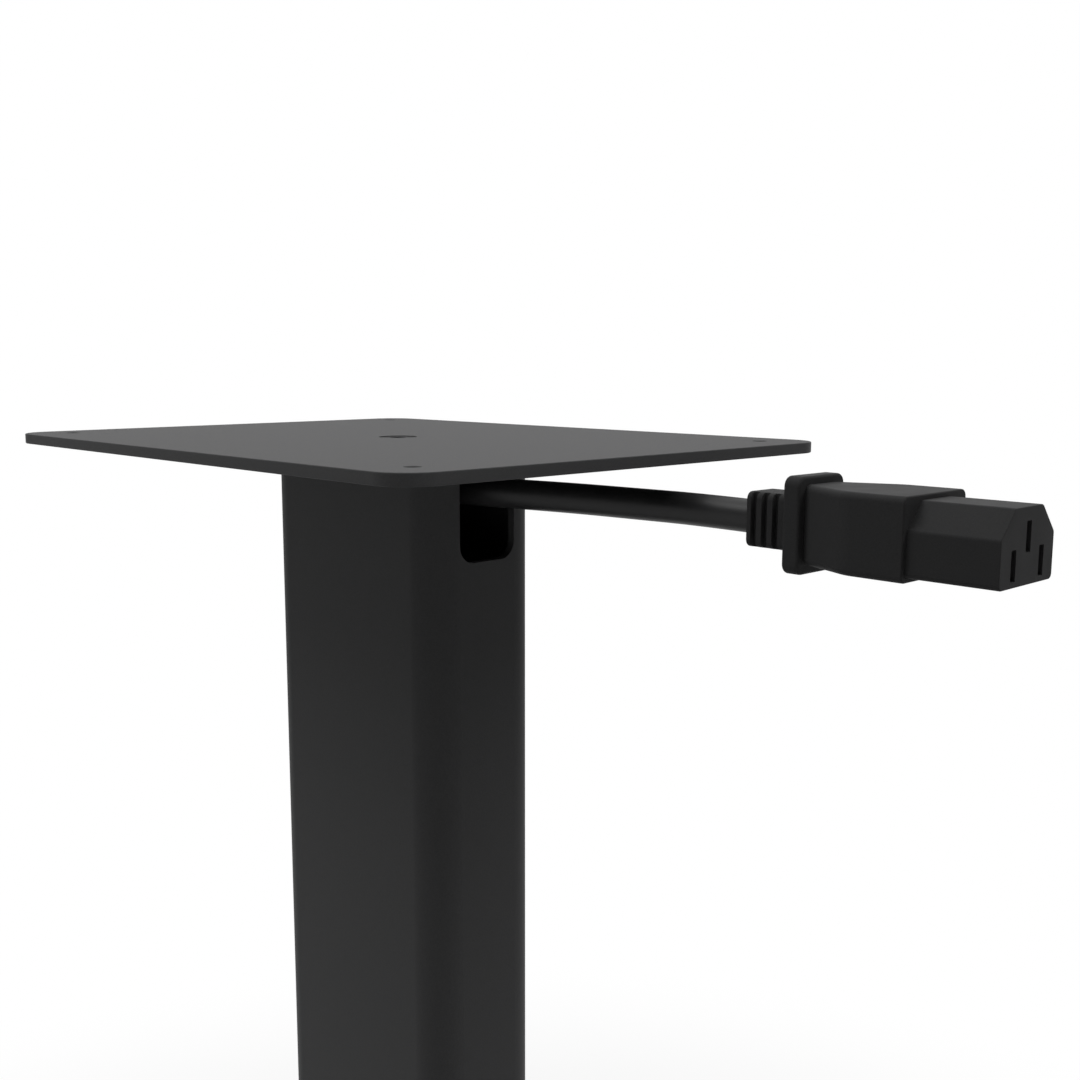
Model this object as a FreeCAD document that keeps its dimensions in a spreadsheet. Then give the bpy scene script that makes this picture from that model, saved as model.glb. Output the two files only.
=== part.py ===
import FreeCAD, Part
import math
import os

import Sketcher
from FreeCAD import Placement, Rotation, Vector

# A floor stand for a loudspeaker: a steel plate on a rectangular column, a heavy base on four
# levelling spikes, and the loudspeaker's mains lead, which runs down inside the column.
#
# Frame: millimetres, +Z up, origin on the floor below the column's middle. The front faces -Y,
# and the cable notches are in the column's rear wall, on the +Y side.

DIMENSIONS = {
    # top plate
    "stand_height": 620.0,
    "plate_width": 150.0,
    "plate_depth": 198.0,
    "plate_thickness": 3.0,
    "plate_corner": 10.0,
    "plate_hole": 3.5,
    "plate_hole_inset": 13.0,
    "plate_edge": 0.5,
    # countersunk screws, M6
    "screw_thread": 6.0,
    "screw_head": 11.3,
    "screw_recess": 0.2,
    "screw_socket": 4.0,
    "socket_depth": 2.4,
    "top_screw_length": 8.0,
    "base_screw_length": 16.0,
    # column and what is welded inside it
    "column_width": 40.0,
    "column_depth": 80.0,
    "column_corner": 10.0,
    "column_wall": 2.5,
    "notch_width": 20.0,
    "notch_height": 29.8,
    "notch_corner": 5.0,
    "block_depth": 56.0,
    "cross_plate_thickness": 5.0,
    "foot_block_thickness": 10.0,
    "pin_diameter": 4.0,
    "pin_length": 6.0,
    "pin_entry": 1.5,
    "pin_spacing": 40.0,
    # base
    "base_width": 220.0,
    "base_depth": 270.0,
    "base_thickness": 8.0,
    "base_corner": 20.0,
    "base_edge": 1.0,
    "base_underside": 22.0,
    "base_screw_x": 16.0,
    "base_screw_y": 40.0,
    # levelling feet, M8
    "foot_inset": 24.0,
    "pad_diameter": 22.0,
    "pad_thickness": 1.5,
    "disc_diameter": 24.0,
    "disc_thickness": 4.5,
    "dimple_depth": 2.0,
    "dimple_floor": 2.0,
    "dimple_mouth": 5.6,
    "spike_thread": 8.0,
    "spike_clearance": 0.05,
    "spike_point": 1.0,
    "spike_point_gap": 0.1,
    "spike_cone": 8.0,
    "spike_below_base": 2.0,
    "spike_collar": 3.0,
    "spanner_size": 13.0,
    "nut_height": 4.0,
    "spike_socket_depth": 3.5,
    # cord
    "cord_diameter": 8.2,
    # appliance connector, in its own frame: +Y towards the nose, origin on the cord's axis
    "nose_width": 23.8,
    "nose_height": 16.2,
    "nose_below_axis": 7.95,
    "nose_length": 20.5,
    "nose_hidden": 8.5,
    "nose_chamfer_x": 5.75,
    "nose_chamfer_z": 6.05,
    "nose_keel": 1.3,
    "slot_width": 2.1,
    "slot_height": 6.5,
    "slot_depth": 17.0,
    "slot_side": 6.2,
    "live_below_axis": 3.4,
    "earth_above_axis": 2.1,
    "contact_wall": 0.3,
    "contact_setback": 4.0,
    "grip_width": 26.4,
    "grip_height": 18.4,
    "grip_below_axis": 9.0,
    "grip_shoulder": 35.0,
    "grip_neck": 13.0,
    "grip_length": 28.3,
    "grip_flare": 8.0,
    "grip_edge": 1.8,
    "collar_width": 18.4,
    "collar_height": 22.6,
    "collar_length": 4.4,
    "collar_corner": 2.4,
    "collar_edge": 0.7,
    "relief_width": 11.8,
    "relief_height": 13.2,
    "relief_length": 12.4,
    "relief_corner": 1.8,
    "relief_slot": 1.5,
    "relief_slot_depth": 1.6,
    "relief_slot_pitch": 3.05,
    "relief_first_slot": 2.0,
    # mains plug, in its own frame: +Y towards the blades, origin on the cord's axis
    "plug_relief_tail": 10.4,
    "plug_relief_root": 14.0,
    "plug_relief_length": 26.0,
    "plug_relief_corner": 5.0,
    "plug_shoulder": 12.0,
    "plug_width": 27.0,
    "plug_height": 24.0,
    "plug_barrel": 21.0,
    "plug_corner": 6.0,
    "blade_thickness": 1.52,
    "blade_width": 6.35,
    "blade_length": 17.5,
    "blade_side": 6.35,
    "blade_above_axis": 4.5,
    "ground_diameter": 4.76,
    "ground_length": 20.6,
    "ground_below_axis": 7.4,
    # coil of spare cord and its tie
    "coil_inner": 37.2,
    "coil_outer": 53.9,
    "coil_bottom": 1.1,
    "coil_top": 17.8,
    "coil_round": 4.0,
    "tie_gap": 0.1,
    "tie_side_gap": 0.5,
    "tie_thickness": 1.0,
    "tie_width": 10.0,
}

# The cord's route, from the appliance connector down to the coil. Each list is one tube.
TOP_TAIL = [
    (-17.7, 119.2, 605.3),
    (-17.0, 102.0, 605.6),
    (-14.3, 84.0, 605.7),
    (-9.9, 64.0, 606.0),
    (-3.4, 42.0, 606.2),
    (1.9, 25.0, 606.5),
]
INNER_CORD = [
    (1.9, 25.0, 606.5),
    (6.6, 6.6, 606.6),
    (8.7, -10.7, 599.4),
    (9.2, -24.1, 586.0),
    (9.2, -31.4, 568.5),
    (8.9, -31.8, 532.0),
    (7.8, -32.2, 461.0),
    (6.0, -32.3, 373.0),
    (3.8, -32.2, 285.0),
    (1.8, -32.0, 197.0),
    (0.5, -31.7, 126.0),
    (0.0, -31.3, 88.8),
    (0.0, -24.0, 71.3),
    (0.0, -10.6, 57.9),
    (0.0, 6.7, 50.7),
    (0.0, 25.4, 50.7),
]
LOWER_LEAD = [
    (0.0, 25.4, 50.7),
    (0.0, 44.0, 50.7),
    (1.2, 72.0, 50.5),
    (2.8, 102.0, 49.9),
    (4.0, 130.0, 48.2),
    (4.7, 153.0, 42.6),
    (5.0, 171.0, 30.4),
    (5.1, 188.5, 17.8),
    (5.0, 207.0, 8.6),
    (5.0, 224.0, 5.5),
]
COIL_CENTRE = (-44.8, 242.0)
COIL_EXIT_ANGLE = 150.0
COIL_EXIT_RADIUS = 49.8
COIL_EXIT_HEIGHT = 13.7
TAIL_START = 20.0
TAIL_STEPS = (7.0, 8.0)
PLUG_HEIGHT = 12.0
PLUG_START = 42.0
TIE_ANGLE = 235.0

# The appliance connector: where its nose face meets the cord's axis, and how it is turned.
CONNECTOR_PLACE = Vector(-17.9, 184.8, 605.25)
CONNECTOR_TURN = Rotation(0.2, -0.25, -0.05)

CORNERS = {
    "front_left": (-1, -1),
    "front_right": (1, -1),
    "rear_left": (-1, 1),
    "rear_right": (1, 1),
}
EXPORTED = []


# ---------------------------------------------------------------- the document and its sheet
doc = FreeCAD.newDocument("speaker_stand")
sheet = doc.addObject("Spreadsheet::Sheet", "Sizes")
for row, (alias, value) in enumerate(DIMENSIONS.items(), start=1):
    sheet.set(f"A{row}", alias.replace("_", " "))
    sheet.set(f"B{row}", str(value))
    sheet.setAlias(f"B{row}", alias)
doc.recompute()


def settle():
    """Recomputes the document, and stops if any object failed."""
    doc.recompute()
    broken = [f"{o.Name} {o.State}" for o in doc.Objects if {"Invalid", "Error"} & set(o.State)]
    if broken:
        raise RuntimeError(f"failed objects: {broken}")


def size(alias):
    """A driving dimension, as the sheet holds it."""
    return float(sheet.get(alias))


def linked(text):
    """An expression whose words are the sheet's aliases, with the sheet's name before each."""
    words = sorted(DIMENSIONS, key=len, reverse=True)
    parts = text.replace("(", " ( ").replace(")", " ) ").split()
    return " ".join(f"Sizes.{part}" if part in words else part for part in parts)


def bind(item, **sizes):
    """Drives each named property of an object by an expression on the sheet."""
    for name, text in sizes.items():
        item.setExpression(name, linked(text))
    return item


def place(item, x="0", y="0", z="0"):
    """Drives an object's position by expressions on the sheet."""
    for axis, text in zip("xyz", (x, y, z)):
        item.setExpression(f"Placement.Base.{axis}", linked(text))
    return item


def keep(item, label):
    """Names a finished sub-part, which also names its file."""
    item.Label = label
    EXPORTED.append(item)
    return item


# ---------------------------------------------------------------- primitives and booleans
def box(name, length, width, height, x, y, z):
    """A box whose middle is at x, y and whose lowest face is at z."""
    item = bind(doc.addObject("Part::Box", name), Length=length, Width=width, Height=height)
    return place(item, f"{x} - ( {length} ) / 2", f"{y} - ( {width} ) / 2", z)


def cylinder(name, diameter, height, x="0", y="0", z="0"):
    item = bind(doc.addObject("Part::Cylinder", name), Radius=f"( {diameter} ) / 2", Height=height)
    return place(item, x, y, z)


def cone(name, lower, upper, height, x="0", y="0", z="0"):
    """A cone, given its lower and its upper diameter."""
    item = doc.addObject("Part::Cone", name)
    bind(item, Radius1=f"( {lower} ) / 2", Radius2=f"( {upper} ) / 2", Height=height)
    return place(item, x, y, z)


def hexagon(name, across_flats, height, x="0", y="0", z="0"):
    item = doc.addObject("Part::Prism", name)
    item.Polygon = 6
    bind(item, Circumradius=f"( {across_flats} ) / 3 ^ 0.5", Height=height)
    return place(item, x, y, z)


def fuse(name, shapes):
    item = doc.addObject("Part::MultiFuse", name)
    item.Shapes = shapes
    return item


def cut(name, base, tools):
    item = doc.addObject("Part::Cut", name)
    item.Base = base
    item.Tool = tools[0] if len(tools) == 1 else fuse(f"{name}_tools", tools)
    return item


def group(name, shapes):
    """Like pieces in one sub-part, as separate solids."""
    item = doc.addObject("Part::Compound", name)
    item.Links = shapes
    return item


# ---------------------------------------------------------------- bodies and sketches
def body(name):
    return doc.addObject("PartDesign::Body", name)


def sketch(owner, name, role="XY_Plane", offset="0"):
    """A sketch on one of a body's own origin planes, moved along that plane's normal."""
    item = owner.newObject("Sketcher::SketchObject", name)
    plane = [f for f in owner.Origin.OriginFeatures if f.Role == role][0]
    item.AttachmentSupport = (plane, [""])
    item.MapMode = "FlatFace"
    item.setExpression(".AttachmentOffset.Base.z", linked(offset))
    return item


def constrain(item, name, text, *constraint):
    """Adds a named constraint and drives it by an expression."""
    index = item.addConstraint(Sketcher.Constraint(*constraint))
    item.renameConstraint(index, name)
    item.setExpression(f"Constraints.{name}", linked(text))


def rounded_rectangle(item, name, width, depth, corner, middle=None):
    """Four lines and four corner arcs. Its middle is at the origin, or above it by middle."""
    w, d, r, up = (evaluate(text) for text in (width, depth, corner, middle or "0"))
    first = item.GeometryCount
    x, y = w / 2 - r, d / 2 - r
    line, arc = Part.LineSegment, Part.ArcOfCircle
    up_z = Vector(0, 0, 1)

    def quarter(cx, cy, start):
        circle = Part.Circle(Vector(cx, cy + up, 0), up_z, r)
        return arc(circle, math.radians(start), math.radians(start + 90))

    item.addGeometry(
        [
            line(Vector(-x, up - d / 2, 0), Vector(x, up - d / 2, 0)),
            quarter(x, -y, -90),
            line(Vector(w / 2, up - y, 0), Vector(w / 2, up + y, 0)),
            quarter(x, y, 0),
            line(Vector(x, up + d / 2, 0), Vector(-x, up + d / 2, 0)),
            quarter(-x, y, 90),
            line(Vector(-w / 2, up + y, 0), Vector(-w / 2, up - y, 0)),
            quarter(-x, -y, 180),
        ],
        False,
    )
    bottom, right, top, left = first, first + 2, first + 4, first + 6
    for step in range(8):
        here, following = first + step, first + (step + 1) % 8
        item.addConstraint(Sketcher.Constraint("Tangent", here, 2, following, 1))
    for index in (bottom, top):
        item.addConstraint(Sketcher.Constraint("Horizontal", index))
    for index in (right, left):
        item.addConstraint(Sketcher.Constraint("Vertical", index))
    for index in (first + 1, first + 3, first + 5):
        item.addConstraint(Sketcher.Constraint("Equal", index, index + 2))
    constrain(item, f"{name}_corner", corner, "Radius", first + 1, r)
    constrain(item, f"{name}_width", width, "DistanceX", left, 1, right, 1, w)
    constrain(item, f"{name}_depth", depth, "DistanceY", bottom, 1, top, 1, d)
    if middle is None:
        item.addConstraint(Sketcher.Constraint("Symmetric", bottom, 1, top, 1, -1, 1))
    else:
        side = f"( {width} ) / 2"
        constrain(item, f"{name}_side", side, "DistanceX", -1, 1, right, 1, w / 2)
        low = f"{middle} - ( {depth} ) / 2"
        constrain(item, f"{name}_low", low, "DistanceY", -1, 1, bottom, 1, up - d / 2)


def outline(item, name, corners):
    """A closed outline of straight lines through corners that are given as expressions."""
    points = [(evaluate(x), evaluate(y)) for x, y in corners]
    first = item.GeometryCount
    count = len(points)
    for step, (x, y) in enumerate(points):
        following = points[(step + 1) % count]
        item.addGeometry(Part.LineSegment(Vector(x, y, 0), Vector(*following, 0)), False)
    for step in range(count):
        following = first + (step + 1) % count
        item.addConstraint(Sketcher.Constraint("Coincident", first + step, 2, following, 1))
    for step, (x, y) in enumerate(points):
        across, along = corners[step]
        constrain(item, f"{name}_x{step}", across, "DistanceX", -1, 1, first + step, 1, x)
        constrain(item, f"{name}_y{step}", along, "DistanceY", -1, 1, first + step, 1, y)


def rectangle_outline(item, name, left, right, low, high):
    outline(item, name, [(left, low), (right, low), (right, high), (left, high)])


def evaluate(text):
    """The present value of an expression on the sheet's aliases."""
    return float(sheet.evalExpression(linked(text)))


def pad(owner, name, profile, length, reverse=False):
    item = owner.newObject("PartDesign::Pad", name)
    item.Profile = profile
    item.Reversed = reverse
    return bind(item, Length=length)


def pocket(owner, name, profile, length=None, reverse=False, both_ways=False):
    """A pocket of the given depth, or right through where none is given."""
    settle()
    before = owner.Shape.Volume
    item = owner.newObject("PartDesign::Pocket", name)
    item.Profile = profile
    item.Reversed = reverse
    item.Midplane = both_ways
    if length is None:
        item.Type = "ThroughAll"
    else:
        bind(item, Length=length)
    settle()
    if owner.Shape.Volume > before - 1e-3:
        raise RuntimeError(f"{name} removes nothing")
    return item


def remove(owner, item, x, y, z):
    """Places a subtractive primitive of a body, which has to take something away."""
    before = owner.Shape.Volume
    place(item, x, y, z)
    settle()
    if owner.Shape.Volume > before - 1e-3:
        raise RuntimeError(f"{item.Name} removes nothing")


def bore(owner, name, diameter, depth, x, y, z):
    """An upright round hole, from z upwards."""
    settle()
    item = owner.newObject("PartDesign::SubtractiveCylinder", name)
    bind(item, Radius=f"( {diameter} ) / 2", Height=depth)
    remove(owner, item, x, y, z)


def countersink(owner, name, lower, upper, depth, x, y, z):
    """A conical hole from z upwards, given its lower and its upper diameter."""
    item = owner.newObject("PartDesign::SubtractiveCone", name)
    bind(item, Radius1=f"( {lower} ) / 2", Radius2=f"( {upper} ) / 2", Height=depth)
    remove(owner, item, x, y, z)


def fillet(owner, name, radius, chosen):
    """Rounds the edges of the body that the test picks."""
    settle()
    tip = owner.Tip
    names = [f"Edge{n}" for n, edge in enumerate(tip.Shape.Edges, start=1) if chosen(edge)]
    if not names:
        raise RuntimeError(f"{name} finds no edge")
    item = owner.newObject("PartDesign::Fillet", name)
    item.Base = (tip, names)
    bind(item, Radius=radius)
    settle()
    return item


def upright(edge):
    start, end = edge.firstVertex().Point, edge.lastVertex().Point
    return abs(start.x - end.x) < 1e-6 and abs(start.y - end.y) < 1e-6


def near(value, target):
    return abs(value - target) < 1e-4


# ---------------------------------------------------------------- top plate and its fixings
def top_plate():
    plate = body("TopPlate")
    flat = sketch(plate, "TopPlateOutline", offset="stand_height - plate_thickness")
    rounded_rectangle(flat, "plate", "plate_width", "plate_depth", "plate_corner")
    pad(plate, "TopPlatePad", flat, "plate_thickness")
    fillet(plate, "TopPlateEdge", "plate_edge", lambda edge: near(edge.BoundBox.ZLength, 0))
    holes = sketch(plate, "TopPlateHoles", offset="stand_height")
    across = size("plate_width") / 2 - size("plate_hole_inset")
    along = size("plate_depth") / 2 - size("plate_hole_inset")
    for number, (side, end) in enumerate(CORNERS.values()):
        centre = Vector(side * across, end * along, 0)
        holes.addGeometry(Part.Circle(centre, Vector(0, 0, 1), size("plate_hole") / 2), False)
        constrain(holes, f"hole{number}", "plate_hole", "Diameter", number, size("plate_hole"))
        for letter, sign, side_text in (("x", side, "plate_width"), ("y", end, "plate_depth")):
            text = f"{sign} * ( {side_text} / 2 - plate_hole_inset )"
            kind = "DistanceX" if letter == "x" else "DistanceY"
            value = getattr(centre, letter)
            constrain(holes, f"hole{number}_{letter}", text, kind, -1, 1, number, 3, value)
    pocket(plate, "TopPlateHolePocket", holes)
    head = "( screw_head - screw_thread ) / 2"
    underside = "stand_height - plate_thickness"
    rim = "stand_height - screw_recess"
    bore(plate, "TopPlateBore", "screw_thread", "plate_thickness", "0", "0", underside)
    sink = f"{rim} - {head}"
    countersink(plate, "TopPlateSink", "screw_thread", "screw_head", head, "0", "0", sink)
    bore(plate, "TopPlateRim", "screw_head", "screw_recess", "0", "0", rim)
    for number, sign in enumerate((-1, 1)):
        y = f"{sign} * pin_spacing / 2"
        bore(plate, f"PinSeat{number}", "pin_diameter", "pin_entry", "0", y, underside)
    keep(plate, "top_plate")


def countersunk_screw(name, length):
    """A screw with its head's flat at the origin and its thread along -Z."""
    head = "( screw_head - screw_thread ) / 2"
    solid = fuse(
        f"{name}_solid",
        [
            cone(f"{name}_head", "screw_thread", "screw_head", head, z=f"0 - {head}"),
            cylinder(f"{name}_shank", "screw_thread", f"{length} - {head}", z=f"0 - {length}"),
        ],
    )
    socket = hexagon(f"{name}_socket", "screw_socket", "socket_depth", z="0 - socket_depth")
    return cut(name, solid, [socket])


def top_screw():
    screw = countersunk_screw("TopScrew", "top_screw_length")
    place(screw, z="stand_height - screw_recess")
    keep(screw, "top_screw")


def top_cross_plate():
    level = "stand_height - plate_thickness - cross_plate_thickness"
    blank = box(
        "CrossPlateBlank",
        "column_width - 2 * column_wall",
        "block_depth",
        "cross_plate_thickness",
        "0",
        "0",
        level,
    )
    holes = [cylinder("CrossPlateTap", "screw_thread", "cross_plate_thickness", z=level)]
    for number, sign in enumerate((-1, 1)):
        y = f"{sign} * pin_spacing / 2"
        name = f"CrossPlatePinHole{number}"
        holes.append(cylinder(name, "pin_diameter", "cross_plate_thickness", y=y, z=level))
    keep(cut("CrossPlate", blank, holes), "top_cross_plate")


def locating_pins():
    level = "stand_height - plate_thickness + pin_entry - pin_length"
    pins = [
        cylinder(f"Pin{number}", "pin_diameter", "pin_length", y=f"{sign} * pin_spacing / 2", z=level)
        for number, sign in enumerate((-1, 1))
    ]
    keep(group("Pins", pins), "locating_pins")


# ---------------------------------------------------------------- column
def column():
    tube = body("Column")
    section = sketch(tube, "ColumnSection", offset="base_underside + base_thickness")
    rounded_rectangle(section, "outside", "column_width", "column_depth", "column_corner")
    rounded_rectangle(
        section,
        "inside",
        "column_width - 2 * column_wall",
        "column_depth - 2 * column_wall",
        "column_corner - column_wall",
    )
    length = "stand_height - plate_thickness - base_underside - base_thickness"
    pad(tube, "ColumnPad", section, length)
    ends = {
        "Top": "stand_height - plate_thickness",
        "Bottom": "base_underside + base_thickness",
    }
    for end, level in ends.items():
        notch = sketch(tube, f"{end}Notch", role="XZ_Plane")
        tall = "2 * notch_height"
        rounded_rectangle(notch, "notch", "notch_width", tall, "notch_corner", middle=level)
        pocket(tube, f"{end}NotchPocket", notch, length="column_depth")
    keep(tube, "column")


def foot_block():
    level = "base_underside + base_thickness"
    width = "column_width - 2 * column_wall"
    blank = box("FootBlockBlank", width, "block_depth", "foot_block_thickness", "0", "0", level)
    taps = [
        cylinder(f"FootBlockTap_{corner}", "screw_thread", "foot_block_thickness", x=x, y=y, z=level)
        for corner, (x, y) in base_screw_places().items()
    ]
    keep(cut("FootBlock", blank, taps), "foot_block")


# ---------------------------------------------------------------- base and its screws
def base_screw_places():
    return {
        corner: (f"{side} * base_screw_x / 2", f"{end} * base_screw_y / 2")
        for corner, (side, end) in CORNERS.items()
    }


def foot_places():
    return {
        corner: (
            f"{side} * ( base_width / 2 - foot_inset )",
            f"{end} * ( base_depth / 2 - foot_inset )",
        )
        for corner, (side, end) in CORNERS.items()
    }


def base_plate():
    plate = body("BasePlate")
    flat = sketch(plate, "BaseOutline", offset="base_underside")
    rounded_rectangle(flat, "base", "base_width", "base_depth", "base_corner")
    pad(plate, "BasePad", flat, "base_thickness")
    fillet(
        plate,
        "BaseEdge",
        "base_edge",
        lambda edge: near(edge.BoundBox.ZMin, size("base_underside") + size("base_thickness"))
        and near(edge.BoundBox.ZLength, 0),
    )
    low, head = "base_underside", "( screw_head - screw_thread ) / 2"
    thread = "spike_thread + 2 * spike_clearance"
    for corner, (x, y) in foot_places().items():
        bore(plate, f"FootThread_{corner}", thread, "base_thickness", x, y, low)
    for corner, (x, y) in base_screw_places().items():
        bore(plate, f"BaseBore_{corner}", "screw_thread", "base_thickness", x, y, low)
        sink = f"{low} + screw_recess"
        name = f"BaseSink_{corner}"
        countersink(plate, name, "screw_head", "screw_thread", head, x, y, sink)
        bore(plate, f"BaseRim_{corner}", "screw_head", "screw_recess", x, y, low)
    keep(plate, "base_plate")


def base_screws():
    screws = []
    for corner, (x, y) in base_screw_places().items():
        screw = countersunk_screw(f"BaseScrew_{corner}", "base_screw_length")
        screw.Placement = Placement(Vector(), Rotation(Vector(1, 0, 0), 180))
        screws.append(place(screw, x, y, "base_underside + screw_recess"))
    keep(group("BaseScrews", screws), "base_screws")


# ---------------------------------------------------------------- levelling feet
SPIKE_TIP = "pad_thickness + disc_thickness - dimple_depth + spike_point_gap"
COLLAR_LOW = f"{SPIKE_TIP} + spike_cone"


def disc_pad(corner, x, y):
    pad_disc = cylinder(f"Pad_{corner}", "pad_diameter", "pad_thickness", x, y)
    keep(pad_disc, f"disc_pad_{corner}")


def floor_disc(corner, x, y):
    blank = cylinder(f"DiscBlank_{corner}", "disc_diameter", "disc_thickness", x, y, "pad_thickness")
    level = "pad_thickness + disc_thickness - dimple_depth"
    name = f"Dimple_{corner}"
    dimple = cone(name, "dimple_floor", "dimple_mouth", "dimple_depth", x, y, level)
    keep(cut(f"Disc_{corner}", blank, [dimple]), f"floor_disc_{corner}")


def spike(corner, x, y):
    top = "base_underside + base_thickness - spike_below_base"
    shaft_height = f"{top} - ( {COLLAR_LOW} )"
    solid = fuse(
        f"SpikeSolid_{corner}",
        [
            cone(f"Point_{corner}", "spike_point", "spike_thread", "spike_cone", x, y, SPIKE_TIP),
            hexagon(f"Collar_{corner}", "spanner_size", "spike_collar", x, y, COLLAR_LOW),
            cylinder(f"Shaft_{corner}", "spike_thread", shaft_height, x, y, COLLAR_LOW),
        ],
    )
    low = f"{top} - spike_socket_depth"
    socket = hexagon(f"SpikeSocket_{corner}", "screw_socket", "spike_socket_depth", x, y, low)
    keep(cut(f"Spike_{corner}", solid, [socket]), f"spike_{corner}")


def lock_nut(corner, x, y):
    level = "base_underside - nut_height"
    blank = hexagon(f"NutBlank_{corner}", "spanner_size", "nut_height", x, y, level)
    bore = "spike_thread + 2 * spike_clearance"
    hole = cylinder(f"NutHole_{corner}", bore, "nut_height", x, y, level)
    keep(cut(f"Nut_{corner}", blank, [hole]), f"lock_nut_{corner}")


# ---------------------------------------------------------------- cord
def tube_along(points, diameter):
    """A round tube along straight runs joined by tangent arcs, as large as the runs allow."""
    corners = [Vector(*point) for point in points]
    edges, radii, start = [], [], corners[0]
    for before, corner, after in zip(corners, corners[1:], corners[2:]):
        back, ahead = before - corner, after - corner
        setback = 0.45 * min(back.Length, ahead.Length)
        half_turn = (math.pi - back.getAngle(ahead)) / 2
        radius = setback / math.tan(half_turn)
        back.normalize()
        ahead.normalize()
        inward = (back + ahead).normalize()
        middle = corner + inward * (radius / math.cos(half_turn) - radius)
        first, last = corner + back * setback, corner + ahead * setback
        edges.append(Part.LineSegment(start, first).toShape())
        edges.append(Part.Arc(first, middle, last).toShape())
        radii.append(radius)
        start = last
    edges.append(Part.LineSegment(start, corners[-1]).toShape())
    path = Part.Wire(edges)
    ring = Part.Circle(corners[0], corners[1] - corners[0], diameter / 2)
    tube = path.makePipeShell([Part.Wire([ring.toShape()])], True, False)
    expected = math.pi * diameter**2 / 4 * path.Length
    if abs(tube.Volume - expected) > 0.01 * expected:
        raise RuntimeError(f"tube volume {tube.Volume:.0f}, expected {expected:.0f}")
    return tube, path.Length, min(radii)


def cord_piece(label, points):
    tube, length, tightest = tube_along(points, size("cord_diameter"))
    item = doc.addObject("Part::Feature", label.title().replace("_", ""))
    item.Shape = tube
    print(f"{label}: {length:.0f} mm long, tightest radius {tightest:.0f} mm")
    keep(item, label)


def coil_tangent():
    """Where the cord leaves the coil, and the direction in which it leaves."""
    angle = math.radians(COIL_EXIT_ANGLE)
    along = Vector(-math.sin(angle), math.cos(angle), 0)
    outward = Vector(math.cos(angle), math.sin(angle), 0)
    return Vector(*COIL_CENTRE, 0) + outward * COIL_EXIT_RADIUS, along


def plug_tail_route():
    """From the coil's top layer to the plug, nearly level."""
    leave, along = coil_tangent()
    reach = [TAIL_START]
    for step in TAIL_STEPS:
        reach.append(reach[-1] + step)
    reach.append(PLUG_START)
    drop = (COIL_EXIT_HEIGHT - PLUG_HEIGHT) / (PLUG_START - TAIL_START) ** 2
    return [
        tuple(leave + along * far + Vector(0, 0, PLUG_HEIGHT + drop * (PLUG_START - far) ** 2))
        for far in reach
    ]


def cord_coil():
    ring = body("CordCoil")
    section = sketch(ring, "CoilSection", role="XZ_Plane")
    left, right, low, high = "coil_inner", "coil_outer", "coil_bottom", "coil_top"
    rectangle_outline(section, "coil", left, right, low, high)
    turn = ring.newObject("PartDesign::Revolution", "CoilTurn")
    turn.Profile = section
    turn.ReferenceAxis = (section, ["V_Axis"])
    turn.Angle = 360
    fillet(ring, "CoilRound", "coil_round", lambda edge: isinstance(edge.Curve, Part.Circle))
    ring.Placement = Placement(Vector(*COIL_CENTRE, 0), Rotation())
    keep(ring, "cord_coil")


def coil_tie():
    """A strap round the coil's bundle of turns: a short square sleeve."""
    gap, thick = "tie_gap", "tie_thickness"
    wide = "coil_outer - coil_inner + 2 * tie_side_gap"
    tall = f"coil_top - coil_bottom + 2 * {gap}"
    middle = "( coil_inner + coil_outer ) / 2"
    sleeve = box(
        "TieSleeve",
        f"{wide} + 2 * {thick}",
        "tie_width",
        f"{tall} + 2 * {thick}",
        middle,
        "0",
        f"coil_bottom - {gap} - {thick}",
    )
    opening = box("TieOpening", wide, "2 * tie_width", tall, middle, "0", f"coil_bottom - {gap}")
    tie = cut("Tie", sleeve, [opening])
    tie.Placement = Placement(Vector(*COIL_CENTRE, 0), Rotation(Vector(0, 0, 1), TIE_ANGLE))
    keep(tie, "coil_tie")


# ---------------------------------------------------------------- appliance connector
def nose_outline(item):
    half = "nose_width / 2"
    low = "0 - nose_below_axis"
    high = "nose_height - nose_below_axis"
    outline(
        item,
        "nose",
        [
            (f"0 - {half}", low),
            (half, low),
            (half, f"{high} - nose_chamfer_z"),
            (f"{half} - nose_chamfer_x", high),
            (f"nose_chamfer_x - {half}", high),
            (f"0 - {half}", f"{high} - nose_chamfer_z"),
        ],
    )


def slot_places():
    """The middle of each contact slot, seen from the nose: live, earth, neutral."""
    low, high = "0 - live_below_axis", "earth_above_axis"
    return {"live": ("0 - slot_side", low), "earth": ("0", high), "neutral": ("slot_side", low)}


def connector_insert():
    insert = body("ConnectorInsert")
    # The XZ plane's normal is -Y, so a positive offset lies behind the nose face.
    face = sketch(insert, "InsertOutline", role="XZ_Plane", offset="0")
    nose_outline(face)
    pad(insert, "InsertPad", face, "nose_length + nose_hidden")
    fillet(insert, "InsertKeel", "nose_keel", is_under_the_nose)
    slots = sketch(insert, "InsertSlots", role="XZ_Plane", offset="0")
    for name, (x, z) in slot_places().items():
        rectangle_outline(
            slots,
            name,
            f"{x} - slot_width / 2",
            f"{x} + slot_width / 2",
            f"{z} - slot_height / 2",
            f"{z} + slot_height / 2",
        )
    pocket(insert, "InsertSlotPocket", slots, length="slot_depth", reverse=True)
    set_in_connector(insert)
    keep(insert, "connector_insert")


def is_under_the_nose(edge):
    """Whether an edge is one of the nose's lower long edges."""
    bounds = edge.BoundBox
    level = near(bounds.ZLength, 0) and near(bounds.ZMin, -size("nose_below_axis"))
    return level and near(bounds.XLength, 0)


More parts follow.
